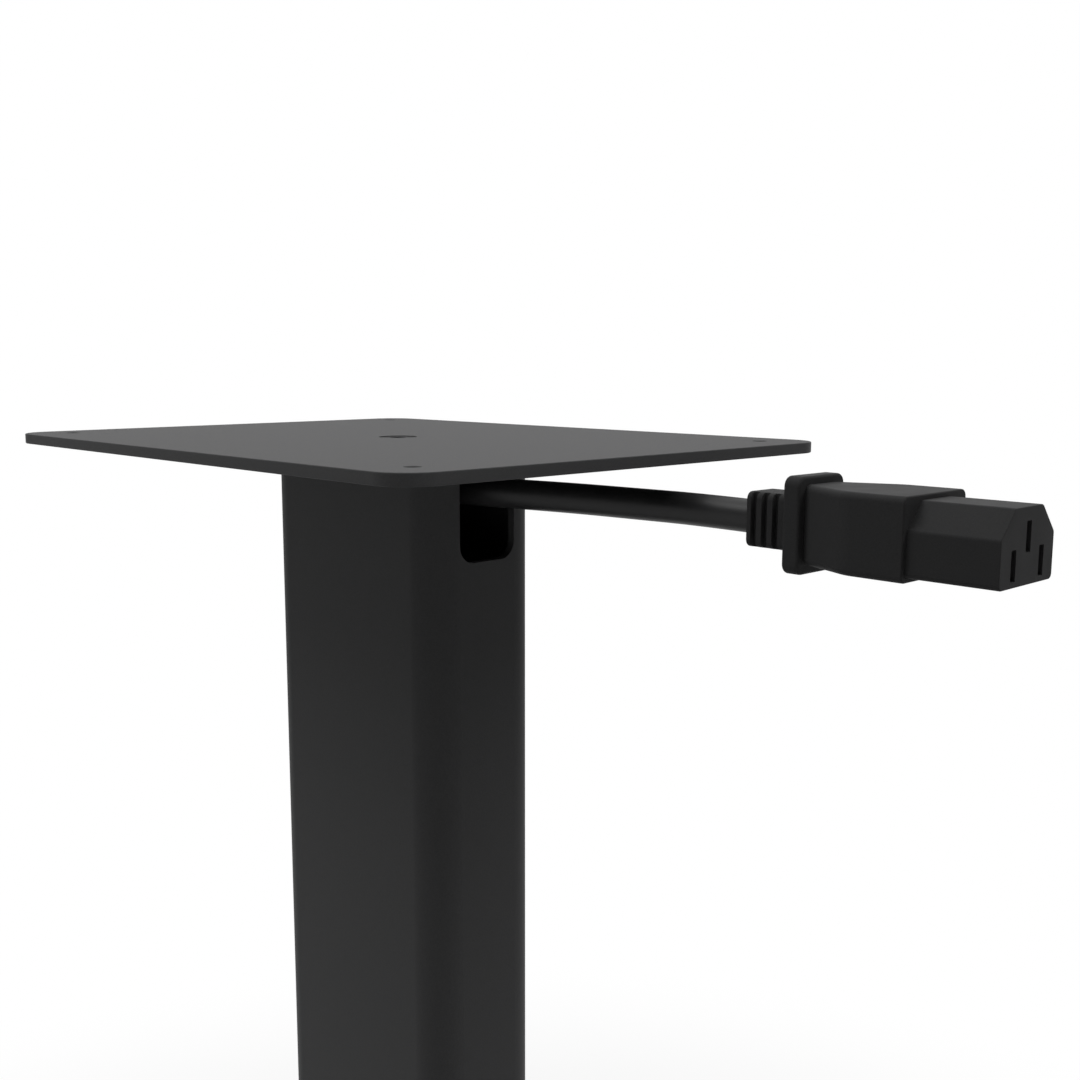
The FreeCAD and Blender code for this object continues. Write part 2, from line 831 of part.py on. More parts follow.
def connector_contacts():
    sleeves = []
    for name, (x, z) in slot_places().items():
        length = "slot_depth - contact_setback"
        back = "0 - slot_depth / 2 - contact_setback / 2"
        outer = box(
            f"Contact_{name}_out", "slot_width", length, "slot_height", x, back, f"{z} - slot_height / 2"
        )
        inner = box(
            f"Contact_{name}_in",
            "slot_width - 2 * contact_wall",
            f"2 * ( {length} )",
            "slot_height - 2 * contact_wall",
            x,
            back,
            f"{z} - slot_height / 2 + contact_wall",
        )
        sleeves.append(cut(f"Contact_{name}", outer, [inner]))
    contacts = group("ConnectorContacts", sleeves)
    set_in_connector(contacts)
    keep(contacts, "connector_contacts")


def connector_shell():
    shell = body("ConnectorShell")
    plan = sketch(shell, "GripPlan", offset="0 - grip_below_axis")
    wide, neck = "grip_width / 2", "grip_neck / 2"
    front, shoulder = "0 - nose_length", "0 - grip_shoulder"
    rear = "0 - nose_length - grip_length"
    outline(
        plan,
        "grip",
        [
            (wide, front),
            (f"0 - {wide}", front),
            (f"0 - {wide}", shoulder),
            (f"0 - {neck}", rear),
            (neck, rear),
            (wide, shoulder),
        ],
    )
    pad(shell, "GripPad", plan, "grip_height")
    shoulder_y = -size("grip_shoulder")
    fillet(
        shell,
        "GripFlare",
        "grip_flare",
        lambda edge: upright(edge) and near(edge.firstVertex().Point.y, shoulder_y),
    )
    fillet(shell, "GripEdges", "grip_edge", runs_along_the_grip)
    collar = sketch(shell, "CollarSection", role="XZ_Plane", offset="nose_length + grip_length")
    rounded_rectangle(collar, "collar", "collar_width", "collar_height", "collar_corner")
    pad(shell, "CollarPad", collar, "collar_length")
    fillet(shell, "CollarEdges", "collar_edge", is_on_the_collar)
    back = "nose_length + grip_length + collar_length"
    relief = sketch(shell, "ReliefSection", role="XZ_Plane", offset=back)
    rounded_rectangle(relief, "relief", "relief_width", "relief_height", "relief_corner")
    pad(shell, "ReliefPad", relief, "relief_length")
    slots = sketch(shell, "ReliefSlots")
    for number in range(3):
        middle = f"0 - ( {back} + relief_length - relief_first_slot - {number} * relief_slot_pitch )"
        for side, (inner, outer) in {
            "left": ("relief_slot_depth - relief_width / 2", "0 - relief_width"),
            "right": ("relief_width / 2 - relief_slot_depth", "relief_width"),
        }.items():
            rectangle_outline(
                slots,
                f"slot_{side}{number}",
                inner,
                outer,
                f"{middle} - relief_slot / 2",
                f"{middle} + relief_slot / 2",
            )
    pocket(shell, "ReliefSlotPocket", slots, both_ways=True)
    cavity = sketch(shell, "InsertCavity", role="XZ_Plane", offset="nose_length")
    nose_outline(cavity)
    pocket(shell, "InsertCavityPocket", cavity, length="nose_hidden", reverse=True)
    set_in_connector(shell)
    keep(shell, "connector_shell")


def runs_along_the_grip(edge):
    """Whether an edge is one of the grip's long top or bottom edges."""
    low = -size("grip_below_axis")
    high = low + size("grip_height")
    bounds = edge.BoundBox
    level = near(bounds.ZLength, 0) and (near(bounds.ZMin, low) or near(bounds.ZMin, high))
    return level and bounds.YLength > size("grip_edge")


def is_on_the_collar(edge):
    """Whether an edge is part of the collar's own outline, at its front or its back."""
    front = -size("nose_length") - size("grip_length")
    back = front - size("collar_length")
    bounds = edge.BoundBox
    flat = near(bounds.YLength, 0) and (near(bounds.YMin, front) or near(bounds.YMin, back))
    reach_x = max(abs(bounds.XMin), abs(bounds.XMax))
    reach_z = max(abs(bounds.ZMin), abs(bounds.ZMax))
    outermost = near(reach_x, size("collar_width") / 2) or near(reach_z, size("collar_height") / 2)
    return flat and outermost


def set_in_connector(item):
    item.Placement = Placement(CONNECTOR_PLACE, CONNECTOR_TURN)


# ---------------------------------------------------------------- mains plug
def plug_placement():
    leave, along = coil_tangent()
    start = leave + along * PLUG_START + Vector(0, 0, PLUG_HEIGHT)
    turn = math.degrees(math.atan2(-along.x, along.y))
    return Placement(start, Rotation(turn, 0, 0))


def plug_section(owner, name, width, height, corner, distance):
    """A rounded section across the plug, at a distance from where the cord enters."""
    section = sketch(owner, name, role="XZ_Plane", offset=f"0 - ( {distance} )")
    rounded_rectangle(section, "edge", width, height, corner)
    return section


def plug_body():
    plug = body("PlugBody")
    shoulder = "plug_relief_length + plug_shoulder"
    tail, root, corner = "plug_relief_tail", "plug_relief_root", "plug_relief_corner"
    barrel = ("plug_width", "plug_height", "plug_corner", shoulder)
    sections = [
        plug_section(plug, "PlugTail", tail, tail, corner, "0"),
        plug_section(plug, "PlugRoot", root, root, corner, "plug_relief_length"),
        plug_section(plug, "PlugShoulder", *barrel),
    ]
    for number, (lower, upper) in enumerate(zip(sections, sections[1:])):
        loft = plug.newObject("PartDesign::AdditiveLoft", f"PlugLoft{number}")
        loft.Profile = lower
        loft.Sections = [upper]
        loft.Ruled = True
        settle()
    face = plug_section(plug, "PlugBarrel", *barrel)
    pad(plug, "PlugBarrelPad", face, "plug_barrel", reverse=True)
    plug.Placement = plug_placement()
    keep(plug, "plug_body")


PLUG_FACE = "plug_relief_length + plug_shoulder + plug_barrel"


def plug_blades():
    blades = [
        box(
            f"Blade_{side}",
            "blade_thickness",
            "blade_length",
            "blade_width",
            f"{side} * blade_side",
            f"{PLUG_FACE} + blade_length / 2",
            "blade_above_axis - blade_width / 2",
        )
        for side in (-1, 1)
    ]
    pair = group("PlugBlades", blades)
    pair.Placement = plug_placement()
    keep(pair, "plug_blades")


def plug_ground_pin():
    rod = bind(doc.addObject("Part::Cylinder", "GroundRod"), Radius="ground_diameter / 2")
    bind(rod, Height="ground_length")
    rod.Placement = Placement(Vector(), Rotation(Vector(1, 0, 0), -90))
    place(rod, "0", PLUG_FACE, "0 - ground_below_axis")
    pin = group("PlugGroundPin", [rod])
    pin.Placement = plug_placement()
    keep(pin, "plug_ground_pin")


# ---------------------------------------------------------------- the stand
def write_parts():
    """Checks every object and every sub-part, then writes each sub-part to its own file."""
    settle()
    for item in EXPORTED:
        if item.Shape.isNull() or not item.Shape.isValid() or not item.Shape.Solids:
            raise RuntimeError(f"{item.Label} has no valid solid")
    os.makedirs("parts", exist_ok=True)
    for item in EXPORTED:
        item.Shape.exportStep(f"parts/{item.Label}.step")


top_plate()
top_screw()
top_cross_plate()
locating_pins()
column()
foot_block()
base_plate()
base_screws()
for foot, (foot_x, foot_y) in foot_places().items():
    disc_pad(foot, foot_x, foot_y)
    floor_disc(foot, foot_x, foot_y)
    spike(foot, foot_x, foot_y)
    lock_nut(foot, foot_x, foot_y)
cord_piece("top_tail", TOP_TAIL)
cord_piece("inner_cord", INNER_CORD)
cord_piece("lower_lead", LOWER_LEAD)
cord_piece("plug_tail", plug_tail_route())
cord_coil()
coil_tie()
connector_shell()
connector_insert()
connector_contacts()
plug_body()
plug_blades()
plug_ground_pin()
write_parts()
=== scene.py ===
"""A floor stand for a loudspeaker, with the loudspeaker's mains lead running down inside it.

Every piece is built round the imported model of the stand, in metres: +Z up, the front facing -Y,
and the cable notches in the rear wall of the column. Run as a script, it builds the whole stand.
"""

import math

import bmesh
import bpy
from bpy.props import FloatProperty, FloatVectorProperty, PointerProperty
from mathutils import Euler, Matrix, Vector


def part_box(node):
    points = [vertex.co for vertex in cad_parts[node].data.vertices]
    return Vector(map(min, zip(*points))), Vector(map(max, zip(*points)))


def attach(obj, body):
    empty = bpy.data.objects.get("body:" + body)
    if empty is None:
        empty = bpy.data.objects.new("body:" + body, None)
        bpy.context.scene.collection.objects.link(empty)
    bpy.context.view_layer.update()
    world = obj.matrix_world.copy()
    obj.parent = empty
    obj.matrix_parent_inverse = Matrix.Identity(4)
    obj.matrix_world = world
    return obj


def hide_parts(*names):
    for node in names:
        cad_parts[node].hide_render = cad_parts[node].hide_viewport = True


bl_info = {
    "name": "Speaker Stand",
    "version": (1, 0, 0),
    "blender": (4, 5, 0),
    "location": "3D View > Sidebar > Speaker Stand",
    "description": "Builds a steel loudspeaker stand with its mains lead, piece by piece",
    "category": "Add Mesh",
}

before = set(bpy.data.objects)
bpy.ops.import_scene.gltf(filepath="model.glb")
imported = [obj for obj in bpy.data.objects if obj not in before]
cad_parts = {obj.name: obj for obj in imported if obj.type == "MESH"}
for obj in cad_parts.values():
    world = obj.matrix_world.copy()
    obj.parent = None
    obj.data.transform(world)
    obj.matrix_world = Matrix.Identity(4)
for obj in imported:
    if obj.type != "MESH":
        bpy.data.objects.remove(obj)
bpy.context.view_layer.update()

MM = 0.001
PAST = 1.0 * MM  # how far a cutting tool reaches past a face
WELD = 0.0005 * MM  # points closer than this are one
SHARP = math.radians(32.0)  # an edge that turns by more than this stays sharp
PARALLEL = 0.999  # the least cosine between directions that count as parallel
CORNER_STEPS = 14
TURN_STEPS = 64
PATTERN = (0.3, 0.7)  # the values of a pattern between which a surface changes
WHITE = (1.0, 1.0, 1.0, 1.0)

BODY = "stand"
CORNERS = ("front_left", "front_right", "rear_left", "rear_right")

# The route of the lead's upper end, from the appliance connector into the column.
TOP_CORD = [
    (-0.0178, 0.1230, 0.6052),
    (-0.0170, 0.1020, 0.6056),
    (-0.0143, 0.0840, 0.6057),
    (-0.0099, 0.0640, 0.6060),
    (-0.0034, 0.0420, 0.6062),
    (0.0019, 0.0250, 0.6065),
]
# The route of its lower end, from inside the column down to the floor.
LOWER_LEAD = [
    (0.0000, 0.0254, 0.0507),
    (0.0000, 0.0440, 0.0507),
    (0.0012, 0.0720, 0.0505),
    (0.0028, 0.1020, 0.0499),
    (0.0040, 0.1300, 0.0482),
    (0.0047, 0.1530, 0.0426),
    (0.0050, 0.1710, 0.0304),
    (0.0051, 0.1885, 0.0178),
    (0.0050, 0.2070, 0.0086),
    (0.0050, 0.2240, 0.0055),
]


# ---------------------------------------------------------------- what a user may change
def length(name, description, millimetres):
    return FloatProperty(
        name=name, description=description, default=millimetres * MM, min=0.0, unit="LENGTH"
    )


def angle(name, description, degrees):
    return FloatProperty(
        name=name, description=description, default=math.radians(degrees), subtype="ANGLE"
    )


def share(name, description, value):
    return FloatProperty(
        name=name, description=description, default=value, min=0.0, max=1.0, subtype="FACTOR"
    )


def colour(name, description, red, green, blue):
    return FloatVectorProperty(
        name=name,
        description=description,
        default=(red, green, blue),
        min=0.0,
        max=1.0,
        subtype="COLOR",
    )


class FinishSettings(bpy.types.PropertyGroup):
    """Colours and roughness of the stand's surfaces."""

    coat: colour("Powder coat", "Colour of the coated steel", 0.061, 0.061, 0.062)
    coat_roughness: share("Coat roughness", "Roughness of the powder coat", 0.58)
    screw: colour("Screws", "Colour of the blackened screws", 0.020, 0.020, 0.021)
    steel: colour("Mill scale", "Colour of the welded parts inside", 0.10, 0.10, 0.107)
    nickel: colour("Feet", "Colour of the nickel-plated feet", 0.50, 0.50, 0.51)
    rubber: colour("Foot pads", "Colour of the pads under the feet", 0.02, 0.02, 0.02)
    sheath: colour("Cord", "Colour of the cord's sheath", 0.022, 0.022, 0.0225)
    moulding: colour("Connectors", "Colour of the moulded connectors", 0.037, 0.037, 0.0375)
    brass: colour("Contacts", "Colour of the contacts and blades", 0.62, 0.47, 0.22)
    strap: colour("Strap", "Colour of the strap round the coil", 0.018, 0.018, 0.019)


class SteelSettings(bpy.types.PropertyGroup):
    """Sizes of the coated steel and of its screws."""

    plate_corner: length("Plate corner", "Radius of the plate's corners", 10.0)
    plate_edge: length("Plate edge", "Rounding of the plate's rim", 0.3)
    hole: length("Small hole", "Diameter of the plate's corner holes", 3.5)
    hole_inset: length("Hole inset", "From the plate's edges to its corner holes", 13.0)
    column_corner: length("Column corner", "Outer radius of the column's corners", 10.0)
    column_wall: length("Column wall", "Wall of the column's tube", 2.5)
    notch_width: length("Notch width", "Width of the cable notches", 20.0)
    notch_height: length("Notch height", "Height of the cable notches", 29.8)
    notch_corner: length("Notch corner", "Radius of the notches' corners", 5.0)
    rim: length("Cut edge", "Rounding that the coat leaves on cut edges", 0.35)
    base_corner: length("Base corner", "Radius of the base's corners", 20.0)
    base_edge: length("Base edge", "Rounding of the base's upper rim", 1.0)
    base_screw_x: length("Base screws across", "Between the base screws, across", 16.0)
    base_screw_y: length("Base screws along", "Between the base screws, along", 40.0)
    thread: length("Screw thread", "Diameter of the countersunk screws", 6.0)
    head: length("Screw head", "Diameter of their heads", 11.3)
    recess: length("Screw recess", "How deep their heads sit below the face", 0.2)
    socket: length("Screw socket", "Across the flats of their sockets", 4.0)
    socket_depth: length("Socket depth", "Depth of their sockets", 2.4)


class FootSettings(bpy.types.PropertyGroup):
    """Sizes of the levelling feet."""

    inset: length("Foot inset", "From the base's edges to the feet", 24.0)
    thread: length("Foot thread", "Diameter of the spikes' thread", 8.0)
    pitch: length("Thread pitch", "Rise of the thread in one turn", 1.25)
    thread_depth: length("Thread depth", "Depth of the thread's groove", 0.65)
    clearance: length("Thread clearance", "Gap round the spikes' thread", 0.05)
    flats: length("Across flats", "Across the flats of collars and nuts", 13.0)
    collar: length("Collar", "Height of the spikes' hexagon collar", 3.0)
    cone: length("Cone", "Height of the spikes' cone", 8.0)
    point: length("Point", "Diameter of the spikes' blunt point", 1.0)
    socket_depth: length("Spike socket", "Depth of the socket in the spikes' upper end", 3.5)
    dimple: length("Dimple depth", "Depth of the dimple in the discs", 2.0)
    dimple_floor: length("Dimple floor", "Diameter of the dimple's floor", 2.0)
    dimple_mouth: length("Dimple mouth", "Diameter of the dimple's mouth", 5.6)


class ConnectorSettings(bpy.types.PropertyGroup):
    """Sizes of the appliance connector, and where it is."""

    place: FloatVectorProperty(
        name="Place",
        description="Where the cord's axis meets the nose's face",
        default=(-0.0179, 0.1848, 0.60525),
        subtype="TRANSLATION",
    )
    turn: FloatVectorProperty(
        name="Turn",
        description="How the connector is turned",
        default=(math.radians(-0.05), math.radians(-0.25), math.radians(0.2)),
        subtype="EULER",
    )
    nose_width: length("Nose width", "Width of the nose", 23.8)
    nose_height: length("Nose height", "Height of the nose", 16.2)
    nose_below: length("Nose below", "From the cord's axis to the nose's underside", 7.95)
    nose_length: length("Nose length", "Length of the nose outside the grip", 20.5)
    nose_hidden: length("Nose hidden", "Length of the nose inside the grip", 8.5)
    chamfer_x: length("Chamfer across", "Width of the nose's chamfers", 5.75)
    chamfer_z: length("Chamfer height", "Height of the nose's chamfers", 6.05)
    nose_edge: length("Nose edge", "Rounding of the nose's upper long edges", 0.45)
    nose_keel: length("Nose underside", "Rounding of the nose's lower long edges", 1.3)
    nose_rim: length("Nose rim", "Rounding round the nose's face", 0.25)
    slot_width: length("Slot width", "Width of the contact slots", 2.1)
    slot_height: length("Slot height", "Height of the contact slots", 6.5)
    slot_depth: length("Slot depth", "Depth of the contact slots", 17.0)
    slot_corner: length("Slot corner", "Radius of the contact slots' corners", 0.25)
    slot_side: length("Slot side", "From the middle to the outer slots", 6.2)
    slot_drop: length("Slot drop", "Outer slots' middle below the cord's axis", 3.4)
    slot_rise: length("Slot rise", "Earth slot's middle above the cord's axis", 2.1)
    grip_width: length("Grip width", "Width of the grip at its shoulder", 26.4)
    grip_height: length("Grip height", "Height of the grip", 18.4)
    grip_below: length("Grip below", "From the cord's axis to the grip's underside", 9.0)
    grip_length: length("Grip length", "Length of the grip", 28.3)
    shoulder: length("Shoulder", "From the nose's face to the grip's shoulder", 35.0)
    neck: length("Neck", "Width of the grip at the collar", 13.0)
    flare: length("Flare", "How far the shoulder's rounding reaches along the grip", 1.98)
    grip_edge: length("Grip edge", "Rounding of the grip's long edges", 1.8)
    collar_width: length("Collar width", "Width of the collar", 18.4)
    collar_height: length("Collar height", "Height of the collar", 22.6)
    collar_length: length("Collar length", "Thickness of the collar", 4.4)
    collar_corner: length("Collar corner", "Radius of the collar's corners", 2.4)
    collar_edge: length("Collar edge", "Rounding of the collar's rims", 0.7)
    relief_width: length("Relief width", "Width of the strain relief", 11.8)
    relief_height: length("Relief height", "Height of the strain relief", 13.2)
    relief_length: length("Relief length", "Length of the strain relief", 12.4)
    relief_corner: length("Relief corner", "Radius of the strain relief's edges", 1.8)
    relief_slot: length("Relief slot", "Width of the strain relief's slots", 1.5)
    relief_slot_depth: length("Relief slot depth", "Depth of those slots", 1.6)
    relief_pitch: length("Relief pitch", "From one slot to the next", 3.05)
    relief_first: length("First slot", "From the relief's end to its first slot", 2.0)


class LeadSettings(bpy.types.PropertyGroup):
    """Sizes of the cord, its coil, the strap and the plug."""

    diameter: length("Cord diameter", "Outer diameter of the sheath", 8.2)
    coil_inner: length("Inner turns", "Radius of the coil's inner turns", 41.3)
    coil_outer: length("Outer turns", "Radius of the coil's outer turns", 49.8)
    coil_low: length("Lower turns", "Height of the lower turns' middle", 5.2)
    coil_high: length("Upper turns", "Height of the upper turns' middle", 13.7)
    coil_x: FloatProperty(
        name="Coil across", description="The coil's middle, across", default=-0.0448, unit="LENGTH"
    )
    coil_y: FloatProperty(
        name="Coil behind", description="The coil's middle, behind", default=0.242, unit="LENGTH"
    )
    coil_turn: angle("Coil turn", "How far the cord turns round in its coil", 1230.0)
    plug_start: length("Plug start", "From the coil to where the plug begins", 42.0)
    plug_height: length("Plug height", "Height of the plug's axis", 12.0)
    strap_at: angle("Strap place", "Where the strap is, round the coil", 235.0)
    strap_width: length("Strap width", "Width of the strap", 10.0)
    strap_thickness: length("Strap thickness", "Thickness of the strap", 1.0)
    relief_tail: length("Relief tail", "Size of the plug's relief at the cord", 10.4)
    relief_root: length("Relief root", "Size of the plug's relief at the body", 14.0)
    relief_length: length("Plug relief", "Length of the plug's relief", 26.0)
    plug_shoulder: length("Plug shoulder", "Length of the plug's widening part", 12.0)
    plug_barrel: length("Plug barrel", "Length of the plug's widest part", 21.0)
    plug_width: length("Plug width", "Width of the plug", 27.0)
    plug_tall: length("Plug tall", "Height of the plug's body", 24.0)
    blade_thickness: length("Blade thickness", "Thickness of the blades", 1.52)
    blade_width: length("Blade width", "Width of the blades", 6.35)
    blade_length: length("Blade length", "Length of the blades", 17.5)
    blade_side: length("Blade side", "From the middle to each blade", 6.35)
    blade_rise: length("Blade rise", "Blades' middle above the cord's axis", 4.5)
    ground_diameter: length("Ground pin", "Diameter of the ground pin", 4.76)
    ground_length: length("Ground length", "Length of the ground pin", 20.6)
    ground_drop: length("Ground drop", "Ground pin below the cord's axis", 7.4)


class StudioSettings(bpy.types.PropertyGroup):
    """The camera, the lamps and the floor."""

    camera_place: FloatVectorProperty(
        name="Camera place",
        description="Where the camera stands",
        default=(0.22623, 0.29578, 0.64264),
        subtype="TRANSLATION",
    )
    camera_turn: FloatVectorProperty(
        name="Camera turn",
        description="How the camera is turned",
        default=(math.radians(81.746), 0.0, math.radians(136.626)),
        subtype="EULER",
    )
    camera_lens: FloatProperty(
        name="Lens", description="Focal length, in millimetres", default=41.37, min=1.0
    )
    camera_shift: FloatProperty(name="Shift", description="Sideways shift", default=0.01125)
    top_power: FloatProperty(
        name="Top light", description="Power of the overhead softbox", default=39.0, unit="POWER"
    )
    top_size: length("Top light size", "Side of the overhead softbox", 3200.0)
    top_reach: length("Top light reach", "From the lit height to the overhead softbox", 2800.0)
    side_power: FloatProperty(
        name="Side lights", description="Power of each slanting softbox", default=48.0, unit="POWER"
    )
    side_size: length("Side light size", "Side of the slanting softboxes", 2000.0)
    side_reach: length("Side light reach", "From the stand to the slanting softboxes", 4000.0)
    side_height: angle("Side light height", "How steeply the slanting softboxes shine down", 53.0)
    right_way: angle("Right light", "Where the right softbox stands, round from +X", 125.0)
    left_way: angle("Left light", "Where the left softbox stands, round from +X", 320.0)
    light_height: length("Lit height", "The height that all the softboxes shine at", 500.0)
    room_light: FloatProperty(
        name="Room light", description="Strength of the light from all round", default=0.01, min=0.0
    )
    camera_near: length("Nearest view", "Nearer than this, the camera shows nothing", 10.0)
    floor: colour("Floor", "Colour of the floor", 0.76, 0.76, 0.76)
    floor_size: length("Floor size", "Side of the floor", 8000.0)
    floor_pale: share("Floor paleness", "How far the floor near the stand is faded to white", 0.55)
    floor_clear: length("Floor fade", "Where the floor begins to fade to white", 250.0)
    floor_white: length("Floor white", "Where the floor is white", 900.0)


class StandSettings(bpy.types.PropertyGroup):
    """All the stand's settings."""

    finish: PointerProperty(type=FinishSettings)
    steel: PointerProperty(type=SteelSettings)
    foot: PointerProperty(type=FootSettings)
    connector: PointerProperty(type=ConnectorSettings)
    lead: PointerProperty(type=LeadSettings)
    studio: PointerProperty(type=StudioSettings)


# ---------------------------------------------------------------- shapes
def block(low, high):
    """A box between two corners."""
    bm = bmesh.new()
    bmesh.ops.create_cube(bm, size=1.0)
    bmesh.ops.scale(bm, vec=high - low, verts=bm.verts)
    bmesh.ops.translate(bm, vec=(low + high) / 2, verts=bm.verts)
    return bm


def round_edges(bm, edges, radius, segments=3):
    bmesh.ops.bevel(
        bm,
        geom=edges,
        offset=radius,
        offset_type="OFFSET",
        segments=segments,
        profile=0.5,
        affect="EDGES",
        clamp_overlap=True,
        material=-1,
    )
    return bm


def runs_along(edge, axis):
    """Whether an edge is parallel to an axis, 0, 1 or 2."""
    run = edge.verts[1].co - edge.verts[0].co
    return abs(run[axis]) > PARALLEL * run.length


def edges_along(bm, axis):
    return [edge for edge in bm.edges if runs_along(edge, axis)]


def is_sharp(edge):
    return edge.is_manifold and edge.calc_face_angle() > SHARP


def sharp_edges(bm):
    return [edge for edge in bm.edges if is_sharp(edge)]


def edges_level(bm, height, axis=2):
    """The edges that lie at one place along an axis."""
    return [e for e in bm.edges if all(abs(v.co[axis] - height) < WELD for v in e.verts)]


def bar(low, high, corner, axis=2, segments=CORNER_STEPS):
    """A block whose edges along one axis are rounded."""
    bm = block(low, high)
    return round_edges(bm, edges_along(bm, axis), corner, segments)


def spun(profile, steps, climb=0.0):
    """A line of points (radius, height) swept once round Z, rising by climb at each step."""
    bm = bmesh.new()
    verts = [bm.verts.new((radius, 0.0, height)) for radius, height in profile]
    edges = [bm.edges.new(pair) for pair in zip(verts, verts[1:])]
    bmesh.ops.spin(
        bm,
        geom=verts + edges,
        cent=(0.0, 0.0, 0.0),
        axis=(0.0, 0.0, 1.0),
        dvec=(0.0, 0.0, climb),
        angle=math.tau,
        steps=steps,
        use_merge=not climb,
    )
    return bm


def turned(profile, steps=TURN_STEPS):
    """A solid turned about Z from points (radius, height) that begin and end on the axis."""
    return close_up(spun(profile, steps))


def cylinder(radius, low, high, steps=TURN_STEPS):
    return turned([(0.0, low), (radius, low), (radius, high), (0.0, high)], steps)


def close_up(bm):
    """Welds what meets, and turns every face outwards."""
    bmesh.ops.remove_doubles(bm, verts=bm.verts, dist=WELD)
    bmesh.ops.dissolve_degenerate(bm, edges=bm.edges, dist=WELD)
    bmesh.ops.recalc_face_normals(bm, faces=bm.faces)
    return bm


def prism(flats, low, high):
    """A hexagonal prism about Z, with two of its corners on the X axis."""
    bm = bmesh.new()
    radius = flats / math.sqrt(3.0)
    bmesh.ops.create_cone(
        bm, cap_ends=True, segments=6, radius1=radius, radius2=radius, depth=high - low
    )
    first = max(bm.verts, key=lambda vert: vert.co.x)
    turn = Matrix.Rotation(-math.atan2(first.co.y, first.co.x), 3, "Z")
    bmesh.ops.rotate(bm, cent=(0.0, 0.0, 0.0), matrix=turn, verts=bm.verts)
    bmesh.ops.translate(bm, vec=(0.0, 0.0, (low + high) / 2), verts=bm.verts)
    return bm


def moved(bm, place):
    """A shape turned and shifted by a matrix, or shifted by a vector."""
    matrix = place if isinstance(place, Matrix) else Matrix.Translation(place)
    bmesh.ops.transform(bm, matrix=matrix, verts=bm.verts)
    return bm


def to_mesh(bm, name):
    mesh = bpy.data.meshes.new(name)
    bm.to_mesh(mesh)
    bm.free()
    return mesh


def gathered(*shapes):
    """Several shapes in one, side by side. The first keeps on; the others are used up."""
    first, *others = shapes
    for other in others:
        mesh = to_mesh(other, "passing")
        first.from_mesh(mesh)
        bpy.data.meshes.remove(mesh)
    return first


def combine(worked, tool, operation):
    """Cuts, joins or intersects a closed shape with another. Both are used up."""
    holders = []
    for name, shape in (("worked", worked), ("tool", tool)):
        holder = bpy.data.objects.new(name, to_mesh(shape, name))
        bpy.context.scene.collection.objects.link(holder)
        holders.append(holder)
    modifier = holders[0].modifiers.new("combine", "BOOLEAN")
    modifier.object = holders[1]
    modifier.operation = operation
    modifier.solver = "EXACT"
    evaluated = holders[0].evaluated_get(bpy.context.evaluated_depsgraph_get())
    result = bmesh.new()
    result.from_mesh(evaluated.to_mesh())
    evaluated.to_mesh_clear()
    for holder in holders:
        mesh = holder.data
        bpy.data.objects.remove(holder)
        bpy.data.meshes.remove(mesh)
    if not result.faces:
        raise RuntimeError(f"{operation} left nothing")
    return close_up(result)


def cut(worked, *tools):
    for tool in tools:
        worked = combine(worked, tool, "DIFFERENCE")
    return worked


def slotted(worked, middles, width, inner, outer, half_height):
    """Slots cut from both sides of a shape, at several places along Y."""
    for middle in middles:
        for side in (-1.0, 1.0):
            near, far = sorted((side * inner, side * outer))
            low = Vector((near, middle - width / 2, -half_height))
            high = Vector((far, middle + width / 2, half_height))
            worked = cut(worked, block(low, high))
    return worked


def split(bm, place, facing, clear=False):
    """Splits a shape at a plane, drops what lies beyond it if clear, and gives the new edges."""
    made = bmesh.ops.bisect_plane(
        bm,
        geom=bm.verts[:] + bm.edges[:] + bm.faces[:],
        dist=WELD,
        plane_co=place,
        plane_no=facing,
        clear_outer=clear,
    )
    return [item for item in made["geom_cut"] if isinstance(item, bmesh.types.BMEdge)]


def piece(name, bm, slot, *replaced, body=BODY):
    """A finished piece: its mesh in place, smooth where it is round, riding on its body."""
    close_up(bm)
    for face in bm.faces:
        face.smooth = True
    mesh = to_mesh(bm, name)
    mesh.set_sharp_from_angle(angle=SHARP)
    mesh.materials.append(finish_of(slot))
    made = bpy.data.objects.new(name, mesh)
    bpy.context.scene.collection.objects.link(made)
    shading = made.modifiers.new("flat_faces_stay_flat", "WEIGHTED_NORMAL")
    shading.keep_sharp = True
    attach(made, body)
    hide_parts(*replaced)
    return made


def dress(node, slot):
    """Gives a carried-over node the material of its slot."""
    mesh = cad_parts[node].data
    mesh.materials.clear()
    mesh.materials.append(finish_of(slot))


